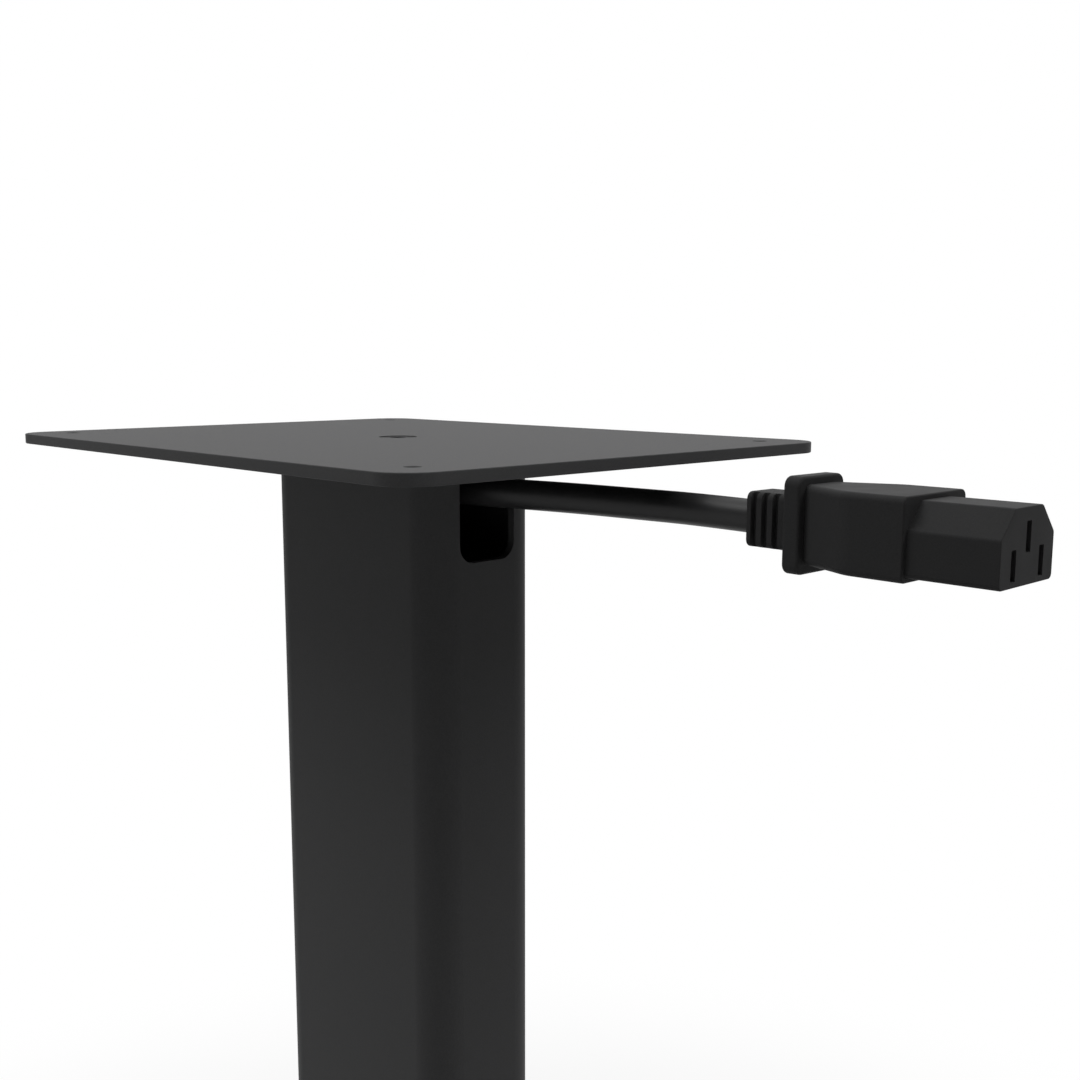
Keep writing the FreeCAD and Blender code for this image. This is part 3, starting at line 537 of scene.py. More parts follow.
# ---------------------------------------------------------------- surfaces
class Surface:
    """A material being made: its shader, and patterns that follow the piece's own place."""

    def __init__(self, name, colour, roughness, metallic=0.0, specular=0.5):
        self.material = bpy.data.materials.new(name)
        self.material.use_nodes = True
        self.tree = self.material.node_tree
        self.tree.nodes.clear()
        self.shader = self.tree.nodes.new("ShaderNodeBsdfPrincipled")
        output = self.tree.nodes.new("ShaderNodeOutputMaterial")
        self.link(self.shader.outputs["BSDF"], output.inputs["Surface"])
        self.shader.inputs["Base Color"].default_value = (*colour, 1.0)
        self.shader.inputs["Roughness"].default_value = roughness
        self.shader.inputs["Metallic"].default_value = metallic
        self.shader.inputs["Specular IOR Level"].default_value = specular
        self.place = self.tree.nodes.new("ShaderNodeTexCoord").outputs["Object"]

    def link(self, source, target):
        self.tree.links.new(source, target)

    def node(self, kind, settings=None, **inputs):
        """A node whose named inputs are values or other nodes' outputs."""
        made = self.tree.nodes.new(kind)
        for name, value in (settings or {}).items():
            setattr(made, name, value)
        for name, value in inputs.items():
            socket = made.inputs[name]
            if isinstance(value, bpy.types.NodeSocket):
                self.link(value, socket)
            else:
                socket.default_value = value
        return made

    def stretched(self, x, y, z):
        """The piece's own coordinates, drawn out or squeezed along each axis."""
        return self.node("ShaderNodeMapping", Vector=self.place, Scale=(x, y, z)).outputs["Vector"]

    def grain(self, size, detail=3.0, rough=0.5, vector=None):
        """Noise whose features are about size metres across."""
        noise = self.node(
            "ShaderNodeTexNoise",
            Vector=vector or self.place,
            Scale=1.0 / size,
            Detail=detail,
            Roughness=rough,
        )
        return noise.outputs["Fac"]

    def between(self, factor, low, high):
        """A number that runs from low to high between the PATTERN values of a factor."""
        start, end = PATTERN
        inputs = {"Value": factor, "From Min": start, "From Max": end, "To Min": low, "To Max": high}
        return self.node("ShaderNodeMapRange", **inputs).outputs["Result"]

    def shade(self, factor, dark, light):
        """Drives the base colour between two shades of the colour that it has."""
        socket = self.shader.inputs["Base Color"]
        base = Vector(socket.default_value[:3])
        ramp = self.node("ShaderNodeValToRGB", Fac=factor)
        for element, at, gain in zip(ramp.color_ramp.elements, PATTERN, (dark, light)):
            element.position = at
            element.color = (*(base * gain), 1.0)
        self.link(ramp.outputs["Color"], socket)

    def roughen(self, factor, low, high):
        self.link(self.between(factor, low, high), self.shader.inputs["Roughness"])

    def emboss(self, height, depth, strength=1.0, under=None):
        """Bump of the given depth in metres, on top of another bump if one is given."""
        inputs = {"Height": height, "Distance": depth, "Strength": strength}
        if under:
            inputs["Normal"] = under
        normal = self.node("ShaderNodeBump", **inputs).outputs["Normal"]
        self.link(normal, self.shader.inputs["Normal"])
        return normal


def powder_coat(finish):
    """Matt black powder coat with a very fine, even grain."""
    surface = Surface("powder_coat", finish.coat, finish.coat_roughness, specular=0.075)
    grain = surface.grain(0.45 * MM, detail=2.0)
    surface.shade(grain, 0.94, 1.05)
    surface.roughen(grain, finish.coat_roughness - 0.03, finish.coat_roughness + 0.03)
    ripple = surface.emboss(surface.grain(2.4 * MM, detail=1.0), 0.03 * MM, 0.25)
    surface.emboss(grain, 0.03 * MM, 0.9, under=ripple)
    return surface.material


def blackened(finish):
    """Black oxide on the heads of the screws, a little burnished."""
    surface = Surface("black_oxide", finish.screw, 0.6, specular=0.05)
    grain = surface.grain(0.25 * MM, detail=3.0)
    surface.shade(surface.grain(1.6 * MM), 0.7, 1.5)
    surface.roughen(grain, 0.52, 0.68)
    surface.emboss(grain, 0.01 * MM, 0.5)
    return surface.material


def mill_steel(finish):
    """Hot-rolled steel under its dark scale, in patches, with fine marks along X."""
    surface = Surface("mill_steel", finish.steel, 0.45, metallic=1.0)
    marks = surface.grain(0.3 * MM, vector=surface.stretched(0.06, 1.0, 1.0))
    scale = surface.grain(7.0 * MM, detail=5.0, rough=0.6)
    surface.shade(scale, 0.55, 1.1)
    surface.roughen(marks, 0.34, 0.58)
    surface.emboss(marks, 0.02 * MM, 0.6)
    return surface.material


def foot_centred(surface):
    """Coordinates whose origin is on the axis of whichever foot the point is in."""
    low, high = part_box("spike_rear_right")
    centre = (low + high) / 2
    folded = surface.node("ShaderNodeVectorMath", {"operation": "ABSOLUTE"}, Vector=surface.place)
    shift = surface.node("ShaderNodeMapping", Vector=folded.outputs["Vector"])
    shift.inputs["Location"].default_value = (-centre.x, -centre.y, 0.0)
    return shift.outputs["Vector"]


def turned_nickel(finish):
    """Nickel on turned steel, with the tool's fine rings round each foot's axis."""
    surface = Surface("turned_nickel", finish.nickel, 0.3, metallic=1.0)
    rings = surface.node(
        "ShaderNodeTexWave",
        {"wave_type": "RINGS", "rings_direction": "Z", "wave_profile": "TRI"},
        Vector=foot_centred(surface),
        Scale=1.0 / (1.6 * MM),
        Distortion=0.4,
        Detail=2.0,
    ).outputs["Fac"]
    smears = surface.grain(3.0 * MM, detail=4.0)
    surface.shade(smears, 0.86, 1.08)
    surface.roughen(smears, 0.24, 0.36)
    surface.emboss(rings, 0.012 * MM, 0.4)
    return surface.material


def foam_rubber(finish):
    """Closed-cell foam rubber, with pores on its skin and cut side."""
    surface = Surface("foam_rubber", finish.rubber, 0.85, specular=0.3)
    pores = surface.node(
        "ShaderNodeTexVoronoi", {"feature": "F1"}, Vector=surface.place, Scale=1.0 / (0.5 * MM)
    ).outputs["Distance"]
    surface.shade(pores, 0.6, 1.3)
    surface.emboss(pores, 0.08 * MM, 0.6)
    return surface.material


def cord_sheath(finish):
    """Satin black sheath with a faint uneven skin."""
    surface = Surface("cord_sheath", finish.sheath, 0.42, specular=0.2)
    skin = surface.grain(0.5 * MM, detail=3.0)
    waves = surface.grain(9.0 * MM, detail=2.0)
    surface.shade(waves, 0.9, 1.12)
    surface.roughen(waves, 0.38, 0.46)
    soft = surface.emboss(waves, 0.10 * MM, 0.2)
    surface.emboss(skin, 0.02 * MM, 0.4, under=soft)
    return surface.material


def connector_moulding(finish):
    """Moulded black plastic with the fine even texture of a spark-eroded mould."""
    surface = Surface("connector_moulding", finish.moulding, 0.55, specular=0.03)
    grain = surface.grain(0.3 * MM, detail=2.0, rough=0.6)
    flow = surface.grain(6.0 * MM, detail=2.0)
    surface.shade(grain, 0.93, 1.07)
    surface.roughen(flow, 0.52, 0.58)
    surface.emboss(grain, 0.02 * MM, 0.4)
    return surface.material


def contact_brass(finish):
    """Drawn brass with a light tarnish."""
    surface = Surface("contact_brass", finish.brass, 0.3, metallic=1.0)
    draw = surface.grain(0.25 * MM, vector=surface.stretched(1.0, 0.08, 1.0))
    tarnish = surface.grain(3.5 * MM, detail=4.0)
    surface.shade(tarnish, 0.7, 1.1)
    surface.roughen(tarnish, 0.24, 0.4)
    surface.emboss(draw, 0.01 * MM, 0.5)
    return surface.material


def loop_strap(finish):
    """Hook-and-loop strap: a mat of fine loops."""
    surface = Surface("loop_strap", finish.strap, 0.9, specular=0.2)
    surface.shader.inputs["Sheen Weight"].default_value = 0.35
    surface.shader.inputs["Sheen Roughness"].default_value = 0.5
    loops = surface.node(
        "ShaderNodeTexVoronoi", {"feature": "SMOOTH_F1"}, Vector=surface.place, Scale=1.0 / (0.7 * MM)
    ).outputs["Distance"]
    surface.shade(loops, 0.6, 1.6)
    surface.emboss(loops, 0.25 * MM, 0.8)
    return surface.material


FINISHES = {
    "black_steel": powder_coat,
    "black_fastener": blackened,
    "raw_steel": mill_steel,
    "foot_steel": turned_nickel,
    "pad_felt": foam_rubber,
    "cord_pvc": cord_sheath,
    "connector_pvc": connector_moulding,
    "contact_brass": contact_brass,
    "tie_strap": loop_strap,
}


def finish_of(slot):
    """The material of a slot of the record, made the first time that it is asked for."""
    key = f"finish_{slot}"
    found = bpy.data.materials.get(key)
    if found:
        return found
    material = FINISHES[slot](bpy.context.scene.speaker_stand.finish)
    material.name = key
    return material


# ---------------------------------------------------------------- studio
def floor_material(studio):
    """Pale floor that shows shadows near the stand and is plain white further out."""
    surface = Surface("floor", studio.floor, 0.9, specular=0.1)
    reach = surface.node("ShaderNodeVectorMath", {"operation": "LENGTH"}, Vector=surface.place)
    inputs = {
        "Value": reach.outputs["Value"],
        "From Min": studio.floor_clear,
        "From Max": studio.floor_white,
        "To Min": studio.floor_pale,
    }
    fade = surface.node("ShaderNodeMapRange", {"interpolation_type": "SMOOTHSTEP"}, **inputs)
    seen = seen_directly(surface.tree)
    factor = surface.node("ShaderNodeMath", {"operation": "MULTIPLY"})
    surface.link(seen, factor.inputs[0])
    surface.link(fade.outputs["Result"], factor.inputs[1])
    white = surface.node("ShaderNodeEmission", Color=WHITE, Strength=1.0)
    mix = surface.node("ShaderNodeMixShader", Fac=factor.outputs["Value"])
    surface.link(surface.shader.outputs["BSDF"], mix.inputs[1])
    surface.link(white.outputs["Emission"], mix.inputs[2])
    output = surface.tree.nodes["Material Output"]
    surface.link(mix.outputs["Shader"], output.inputs["Surface"])
    return surface.material


def seen_directly(tree):
    """1 for camera, glossy and transmission rays, which see the plain white studio."""
    path = tree.nodes.new("ShaderNodeLightPath")
    total = path.outputs["Is Camera Ray"]
    for name in ("Is Glossy Ray", "Is Transmission Ray"):
        most = tree.nodes.new("ShaderNodeMath")
        most.operation = "MAXIMUM"
        tree.links.new(total, most.inputs[0])
        tree.links.new(path.outputs[name], most.inputs[1])
        total = most.outputs["Value"]
    return total


def studio_world(studio):
    """Plain white where it is seen directly, and a low room light for everything else."""
    world = bpy.data.worlds.new("studio")
    world.use_nodes = True
    tree = world.node_tree
    tree.nodes.clear()
    mix = tree.nodes.new("ShaderNodeMixShader")
    tree.links.new(seen_directly(tree), mix.inputs["Fac"])
    for number, strength in ((1, studio.room_light), (2, 1.0)):
        background = tree.nodes.new("ShaderNodeBackground")
        background.inputs["Color"].default_value = WHITE
        background.inputs["Strength"].default_value = strength
        tree.links.new(background.outputs["Background"], mix.inputs[number])
    output = tree.nodes.new("ShaderNodeOutputWorld")
    tree.links.new(mix.outputs["Shader"], output.inputs["Surface"])
    return world


def softbox(name, way, lit_height, size, power):
    """A square softbox that stands off by a vector and shines at the stand's axis."""
    light = bpy.data.lights.new(name, "AREA")
    light.shape = "SQUARE"
    light.size = size
    light.energy = power
    lamp = bpy.data.objects.new(name, light)
    lamp.location = way + Vector((0.0, 0.0, lit_height))
    lamp.rotation_euler = way.to_track_quat("Z", "Y").to_euler()
    bpy.context.scene.collection.objects.link(lamp)


class STAND_OT_studio(bpy.types.Operator):
    """Set up the camera, the softboxes, the room light and the floor"""

    bl_idname = "speaker_stand.studio"
    bl_label = "Studio"
    bl_options = {"REGISTER", "UNDO"}

    def execute(self, context):
        scene = context.scene
        studio = scene.speaker_stand.studio
        scene.view_settings.view_transform = "Standard"
        scene.world = studio_world(studio)

        camera = bpy.data.objects.new("camera", bpy.data.cameras.new("camera"))
        camera.data.lens = studio.camera_lens
        camera.data.shift_x = studio.camera_shift
        camera.data.clip_start = studio.camera_near
        camera.location = studio.camera_place
        camera.rotation_euler = Euler(studio.camera_turn)
        scene.collection.objects.link(camera)
        scene.camera = camera

        overhead = Vector((0.0, 0.0, studio.top_reach))
        softbox("softbox_top", overhead, studio.light_height, studio.top_size, studio.top_power)
        level = studio.side_reach * math.cos(studio.side_height)
        above = studio.side_reach * math.sin(studio.side_height)
        for name, across in (("softbox_right", studio.right_way), ("softbox_left", studio.left_way)):
            way = Vector((level * math.cos(across), level * math.sin(across), above))
            softbox(name, way, studio.light_height, studio.side_size, studio.side_power)

        bm = bmesh.new()
        bmesh.ops.create_grid(bm, x_segments=1, y_segments=1, size=studio.floor_size / 2)
        floor = bpy.data.objects.new("floor", to_mesh(bm, "floor"))
        floor.data.materials.append(floor_material(studio))
        scene.collection.objects.link(floor)
        return {"FINISHED"}


# ---------------------------------------------------------------- cords
COIL_POINTS = 16  # points of the route in one turn
# Where, round its turns, the cord changes over to another row, and how far it turns meanwhile.
COIL_GOES_IN = math.radians(270.0)
COIL_GOES_UP = math.radians(570.0)
COIL_GOES_OUT = math.radians(870.0)
CHANGEOVER = math.radians(60.0)


def cord_curve(name, route, diameter):
    """A round cord along one smooth spline, with the route's points as control points."""
    curve = bpy.data.curves.new(name, "CURVE")
    curve.dimensions = "3D"
    curve.bevel_depth = diameter / 2
    curve.bevel_resolution = 9
    curve.resolution_u = 14
    curve.use_fill_caps = True
    spline = curve.splines.new("NURBS")
    spline.points.add(len(route) - 1)
    for point, place in zip(spline.points, route):
        point.co = (*place, 1.0)
    spline.order_u = 3
    spline.use_endpoint_u = True
    curve.materials.append(finish_of("cord_pvc"))
    cord = bpy.data.objects.new(name, curve)
    bpy.context.scene.collection.objects.link(cord)
    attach(cord, BODY)
    return cord


def eased(value, start):
    """0 before start, 1 past the changeover that begins there, and a smooth rise between."""
    along = min(max((value - start) / CHANGEOVER, 0.0), 1.0)
    return along * along * (3.0 - 2.0 * along)


def coil_route(lead):
    """The coil's turns: outer low, inner low, inner high, outer high, as one winding."""
    count = round(lead.coil_turn / math.tau * COIL_POINTS)
    step = lead.coil_turn / count
    route = []
    for number in range(count):
        at = step * (number + 0.5)
        inwards = eased(at, COIL_GOES_IN) - eased(at, COIL_GOES_OUT)
        radius = lead.coil_outer + (lead.coil_inner - lead.coil_outer) * inwards
        height = lead.coil_low + (lead.coil_high - lead.coil_low) * eased(at, COIL_GOES_UP)
        reach = radius / math.cos(step / 2)
        place = (lead.coil_x + reach * math.cos(at), lead.coil_y + reach * math.sin(at), height)
        route.append(place)
    return route


def coil_exit(lead):
    """Where the cord leaves the coil, and the direction in which it leaves."""
    at = lead.coil_turn
    outward = Vector((math.cos(at), math.sin(at), 0.0))
    along = Vector((-math.sin(at), math.cos(at), 0.0))
    return Vector((lead.coil_x, lead.coil_y, 0.0)) + outward * lead.coil_outer, along


def plug_tail(lead):
    """The short end of cord from the coil to the plug, which comes down a little."""
    leave, along = coil_exit(lead)
    first, inside_the_plug = 20.0 * MM, lead.plug_start + 4.0 * MM
    fall = (lead.coil_high - lead.plug_height) / (lead.plug_start - first) ** 2
    route = []
    for reach in (first, 27.0 * MM, 35.0 * MM, lead.plug_start, inside_the_plug):
        above = fall * max(lead.plug_start - reach, 0.0) ** 2
        route.append(tuple(leave + along * reach + Vector((0.0, 0.0, lead.plug_height + above))))
    return route


class STAND_OT_top_cord(bpy.types.Operator):
    """Add the lead's upper end, from the notch to the appliance connector"""

    bl_idname = "speaker_stand.top_cord"
    bl_label = "Upper cord"
    bl_options = {"REGISTER", "UNDO"}

    def execute(self, context):
        lead = context.scene.speaker_stand.lead
        cord = cord_curve("top_cord", TOP_CORD, lead.diameter)
        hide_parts("top_tail")
        return {"FINISHED"}


class STAND_OT_lower_cord(bpy.types.Operator):
    """Add the lead's lower end: over the base, down to the floor and into its coil"""

    bl_idname = "speaker_stand.lower_cord"
    bl_label = "Lower cord and coil"
    bl_options = {"REGISTER", "UNDO"}

    def execute(self, context):
        lead = context.scene.speaker_stand.lead
        route = LOWER_LEAD + coil_route(lead) + plug_tail(lead)
        cord = cord_curve("lower_cord", route, lead.diameter)
        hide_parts("lower_lead", "cord_coil", "plug_tail")
        dress("inner_cord", "cord_pvc")
        return {"FINISHED"}


# ---------------------------------------------------------------- coated steel
def corner_places(low, high, inset):
    """The four places that lie inset from the edges of a rectangle, as points on z = 0."""
    places = {}
    for name in CORNERS:
        end, side = name.split("_")
        x = high.x - inset if side == "right" else low.x + inset
        y = high.y - inset if end == "rear" else low.y + inset
        places[name] = Vector((x, y, 0.0))
    return places


def hole_tool(radius, low, high, break_edge):
    """A spool that bores a round hole and breaks the edges at both its ends."""
    wide = radius + break_edge + PAST
    profile = [
        (0.0, low - PAST),
        (wide, low - PAST),
        (radius, low + break_edge),
        (radius, high - break_edge),
        (wide, high + PAST),
        (0.0, high + PAST),
    ]
    return turned(profile, steps=40)


def countersunk_tool(steel, face, far, side):
    """A tool for a countersunk hole. Its head is at face, and side is +1 where that is on top."""
    depth = (steel.head - steel.thread) / 2
    rim = face - side * steel.recess
    profile = [
        (0.0, face + side * PAST),
        (steel.head / 2, face + side * PAST),
        (steel.head / 2, rim),
        (steel.thread / 2, rim - side * depth),
        (steel.thread / 2, far - side * PAST),
        (0.0, far - side * PAST),
    ]
    return turned(profile)


def countersunk_screw(steel, face, length):
    """A countersunk screw that points down, with the top of its socket head at face."""
    depth = (steel.head - steel.thread) / 2
    lip, land, end, mouth_depth = 0.1 * MM, 0.25 * MM, 0.6 * MM, 0.3 * MM
    profile = [
        (0.0, 0.0),
        (steel.head / 2 - lip, 0.0),
        (steel.head / 2, -lip),
        (steel.head / 2, -land),
        (steel.thread / 2, -depth),
        (steel.thread / 2, end - length),
        (steel.thread / 2 - end, -length),
        (0.0, -length),
    ]
    mouth = [(0.0, -mouth_depth), (steel.socket / 2, -mouth_depth), (steel.socket, PAST), (0.0, PAST)]
    socket = prism(steel.socket, -steel.socket_depth, PAST)
    return moved(cut(turned(profile), socket, turned(mouth)), Vector((0.0, 0.0, face)))


class STAND_OT_top_plate(bpy.types.Operator):
    """Add the plate that the loudspeaker stands on, and its screw"""

    bl_idname = "speaker_stand.top_plate"
    bl_label = "Top plate"
    bl_options = {"REGISTER", "UNDO"}

    def execute(self, context):
        steel = context.scene.speaker_stand.steel
        low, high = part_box("top_plate")
        plate = bar(low, high, steel.plate_corner)
        rims = edges_level(plate, low.z) + edges_level(plate, high.z)
        round_edges(plate, rims, steel.plate_edge, segments=4)
        for place in corner_places(low, high, steel.hole_inset).values():
            tool = hole_tool(steel.hole / 2, low.z, high.z, steel.rim)
            plate = cut(plate, moved(tool, place))
        plate = cut(plate, countersunk_tool(steel, high.z, low.z, 1))
        piece("top_plate_coated", plate, "black_steel", "top_plate")

        bottom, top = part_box("top_screw")
        screw = countersunk_screw(steel, top.z, top.z - bottom.z)
        piece("top_screw_head", screw, "black_fastener", "top_screw")
        return {"FINISHED"}


class STAND_OT_column(bpy.types.Operator):
    """Add the column, a rectangular tube with a cable notch at each end of its rear wall"""

    bl_idname = "speaker_stand.column"
    bl_label = "Column"
    bl_options = {"REGISTER", "UNDO"}

    def execute(self, context):
        steel = context.scene.speaker_stand.steel
        low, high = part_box("column")
        wall = steel.column_wall
        tube = bar(low, high, steel.column_corner)
        inset = Vector((wall, wall, -PAST))
        tube = cut(tube, bar(low + inset, high - inset, steel.column_corner - wall))
        half = Vector((steel.notch_width / 2, 2.0 * wall, steel.notch_height))
        for level in (low.z, high.z):
            middle = Vector((0.0, high.y, level))
            tube = cut(tube, bar(middle - half, middle + half, steel.notch_corner, axis=1))
        round_edges(tube, sharp_edges(tube), steel.rim)
        piece("column_coated", tube, "black_steel", "column")
        for node in ("top_cross_plate", "foot_block", "locating_pins"):
            dress(node, "raw_steel")
        return {"FINISHED"}


class STAND_OT_base(bpy.types.Operator):
    """Add the base plate, with the holes for its feet and screws"""

    bl_idname = "speaker_stand.base"
    bl_label = "Base"
    bl_options = {"REGISTER", "UNDO"}

    def execute(self, context):
        settings = context.scene.speaker_stand
        steel, foot = settings.steel, settings.foot
        low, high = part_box("base_plate")
        plate = bar(low, high, steel.base_corner, segments=2 * CORNER_STEPS)
        round_edges(plate, edges_level(plate, high.z), steel.base_edge, segments=4)
        round_edges(plate, edges_level(plate, low.z), steel.rim)
        bore = foot.thread / 2 + foot.clearance
        for place in corner_places(low, high, foot.inset).values():
            plate = cut(plate, moved(hole_tool(bore, low.z, high.z, steel.rim), place))
        half = Vector((steel.base_screw_x / 2, steel.base_screw_y / 2, 0.0))
        for place in corner_places(-half, half, 0.0).values():
            tool = countersunk_tool(steel, low.z, high.z, -1)
            plate = cut(plate, moved(tool, place))
        piece("base_plate_coated", plate, "black_steel", "base_plate")
        dress("base_screws", "black_fastener")
        return {"FINISHED"}


# ---------------------------------------------------------------- feet
def hexagon_with_chamfers(flats, low, high):
    """A hexagon whose corners are turned down at both faces, as on a nut."""
    slope = math.tan(math.radians(30.0))
    face = flats / 2 - 0.15 * MM
    wide = flats / math.sqrt(3.0) + PAST
    drop = (wide - face) * slope
    profile = [
        (0.0, low),
        (face, low),
        (wide, low + drop),
        (wide, high - drop),
        (face, high),
        (0.0, high),
    ]
    return combine(prism(flats, low - PAST, high + PAST), turned(profile), "INTERSECT")


def screw_thread(radius, depth, pitch, low, high):
    """A closed length of screw thread: one turn of its profile, which climbs a pitch."""
    steps, meeting = 36, 10.0 * WELD
    root = radius - depth
    one_pitch = ((root, 0.0), (root, 0.12), (radius, 0.48), (radius, 0.64))
    profile = [
        (out, low + (number + along) * pitch)
        for number in range(round((high - low) / pitch))
        for out, along in one_pitch
    ]
    bm = spun(profile, steps, climb=pitch / steps)
    bmesh.ops.remove_doubles(bm, verts=bm.verts, dist=meeting)
    bmesh.ops.holes_fill(bm, edges=[edge for edge in bm.edges if edge.is_boundary], sides=0)
    return close_up(bm)


def spike_shape(settings, low, high):
    """A levelling spike: blunt point, cone, hexagon collar, thread and socket end."""
    foot = settings.foot
    tip, end_chamfer = 0.25 * MM, 0.5 * MM
    radius = foot.thread / 2
    root = radius - foot.thread_depth
    collar_low = low.z + foot.cone
    collar_high = collar_low + foot.collar
    point = [
        (0.0, low.z),
        (foot.point / 2 - tip, low.z),
        (foot.point / 2, low.z + tip),
        (radius, collar_low),
        (radius, collar_low + PAST),
        (0.0, collar_low + PAST),
    ]
    collar = hexagon_with_chamfers(foot.flats, collar_low, collar_high)
    thread_start = collar_high - 1.5 * foot.pitch
    thread_end = high.z - foot.socket_depth - foot.pitch
    thread = screw_thread(radius, foot.thread_depth, foot.pitch, thread_start, thread_end)
    end = [
        (0.0, thread_end - PAST),
        (root, thread_end - PAST),
        (root, high.z - end_chamfer),
        (root - end_chamfer, high.z),
        (0.0, high.z),
    ]
    socket = prism(settings.steel.socket, high.z - foot.socket_depth, high.z + PAST)
    return gathered(combine(turned(point), collar, "UNION"), thread, cut(turned(end), socket))


def lock_nut_shape(settings, low, high):
    foot, bore_edge = settings.foot, 0.4 * MM
    nut = hexagon_with_chamfers(foot.flats, low.z, high.z)
    return cut(nut, hole_tool(foot.thread / 2 + foot.clearance, low.z, high.z, bore_edge))


def disc_shape(settings, low, high):
    """A turned disc with rounded rims, a shallow ring and a dimple for the spike's point."""
    foot, radius, top = settings.foot, (high.x - low.x) / 2, high.z
    ring, groove, rim = 0.72 * radius, 0.35 * MM, 0.7 * MM
    profile = [
        (0.0, low.z),
        (radius, low.z),
        (radius, top),
        (ring + groove, top),
        (ring, top - groove),
        (ring - groove, top),
        (foot.dimple_mouth / 2, top),
        (foot.dimple_floor / 2, top - foot.dimple),
        (0.0, top - foot.dimple),
    ]
    disc = turned(profile)
    rims = [e for e in sharp_edges(disc) if min(v.co.xy.length for v in e.verts) > radius - rim]
    return round_edges(disc, rims, rim, segments=4)


def pad_shape(settings, low, high):
    rim = 0.3 * MM
    pad = cylinder((high.x - low.x) / 2, low.z, high.z)
    return round_edges(pad, sharp_edges(pad), rim)


class STAND_OT_feet(bpy.types.Operator):
    """Add the four levelling feet: spike, lock nut, floor disc and pad"""

    bl_idname = "speaker_stand.feet"
    bl_label = "Levelling feet"
    bl_options = {"REGISTER", "UNDO"}

    def execute(self, context):
        for name in CORNERS:
            low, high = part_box(f"spike_{name}")
            axis = Vector(((low.x + high.x) / 2, (low.y + high.y) / 2, 0.0))
            for kind, made, shape, slot, body in (
                ("spike", "turned", spike_shape, "foot_steel", f"spike_{name}"),
                ("lock_nut", "turned", lock_nut_shape, "foot_steel", BODY),
                ("floor_disc", "turned", disc_shape, "foot_steel", f"foot_{name}"),
                ("disc_pad", "cut", pad_shape, "pad_felt", f"foot_{name}"),
            ):
                node = f"{kind}_{name}"
                finished = moved(shape(context.scene.speaker_stand, *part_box(node)), axis)
                piece(f"{node}_{made}", finished, slot, node, body=body)
        return {"FINISHED"}


# ---------------------------------------------------------------- appliance connector
def nose_shape(size):
    """The nose: a block with two chamfered corners and three contact slots."""
    half, low = size.nose_width / 2, -size.nose_below
    high = low + size.nose_height
    back = -size.nose_length - size.nose_hidden
    nose = block(Vector((-half, back, low)), Vector((half, 0.0, high)))
    for side in (-1.0, 1.0):
        place = (side * half, 0.0, high - size.chamfer_z)
        facing = (side * size.chamfer_z, 0.0, size.chamfer_x)
        bmesh.ops.edgeloop_fill(nose, edges=split(nose, place, facing, clear=True))
    lower = [edge for edge in edges_along(nose, 1) if edge.verts[0].co.z < low + WELD]
    round_edges(nose, lower, size.nose_keel, segments=6)
    upper = [edge for edge in sharp_edges(nose) if runs_along(edge, 1)]
    round_edges(nose, upper, size.nose_edge)
    round_edges(nose, edges_level(nose, 0.0, axis=1), size.nose_rim, segments=2)
    slot = Vector((size.slot_width, size.slot_depth, size.slot_height)) / 2
    for x, z in (
        (-size.slot_side, -size.slot_drop),
        (0.0, size.slot_rise),
        (size.slot_side, -size.slot_drop),
    ):
        centre = Vector((x, -slot.y, z))
        far = centre + slot + Vector((0.0, PAST, 0.0))
        nose = cut(nose, bar(centre - slot, far, size.slot_corner, axis=1, segments=3))
    return nose


def grip_shape(size):
    """The grip: square at the nose, and drawn in to the collar behind its shoulder."""
    end_edge, tuck = 0.4 * MM, 0.5 * MM
    half, low = size.grip_width / 2, -size.grip_below
    front, rear = -size.nose_length, -size.nose_length - size.grip_length
    high = low + size.grip_height
    grip = block(Vector((-half, rear, low)), Vector((half, front, high)))
    split(grip, (0.0, -size.shoulder, 0.0), (0.0, 1.0, 0.0))
    drawn_in = [vert for vert in grip.verts if vert.co.y < rear + WELD]
    bmesh.ops.scale(grip, vec=(size.neck / size.grip_width, 1.0, 1.0), verts=drawn_in)
    shoulders = [
        edge
        for edge in edges_along(grip, 2)
        if abs(edge.verts[0].co.y + size.shoulder) < WELD and abs(edge.verts[0].co.x) > half - WELD
    ]
    round_edges(grip, shoulders, size.flare, segments=10)
    level = edges_level(grip, low) + edges_level(grip, high)
    long_ones = [edge for edge in level if is_sharp(edge) and not runs_along(edge, 0)]
    round_edges(grip, long_ones, size.grip_edge, segments=5)
    round_edges(grip, sharp_edges(grip), end_edge)
    tucked_in = [vert for vert in grip.verts if vert.co.y < rear + tuck]
    bmesh.ops.translate(grip, vec=(0.0, -PAST, 0.0), verts=tucked_in)
    return grip


def collar_shape(size):
    half = Vector((size.collar_width / 2, 0.0, size.collar_height / 2))
    front = Vector((0.0, -size.nose_length - size.grip_length, 0.0))
    back = front - Vector((0.0, size.collar_length, 0.0))
    collar = bar(back - half, front + half, size.collar_corner, axis=1, segments=6)
    rims = edges_level(collar, front.y, axis=1) + edges_level(collar, back.y, axis=1)
    return round_edges(collar, rims, size.collar_edge, segments=4)


def relief_shape(size):
    """The strain relief, slotted from both sides; on the real connector the slots let it bend."""
    slots, slot_edge = 3, 0.18 * MM
    half = Vector((size.relief_width / 2, 0.0, size.relief_height / 2))
    front = -size.nose_length - size.grip_length - size.collar_length
    back = front - size.relief_length
    start, end = Vector((0.0, back, 0.0)), Vector((0.0, front + PAST, 0.0))
    relief = bar(start - half, end + half, size.relief_corner, axis=1, segments=6)
    middles = [back + size.relief_first + number * size.relief_pitch for number in range(slots)]
    inner, outer = half.x - size.relief_slot_depth, half.x + PAST
    relief = slotted(relief, middles, size.relief_slot, inner, outer, size.relief_height)
    return round_edges(relief, sharp_edges(relief), slot_edge, segments=2)


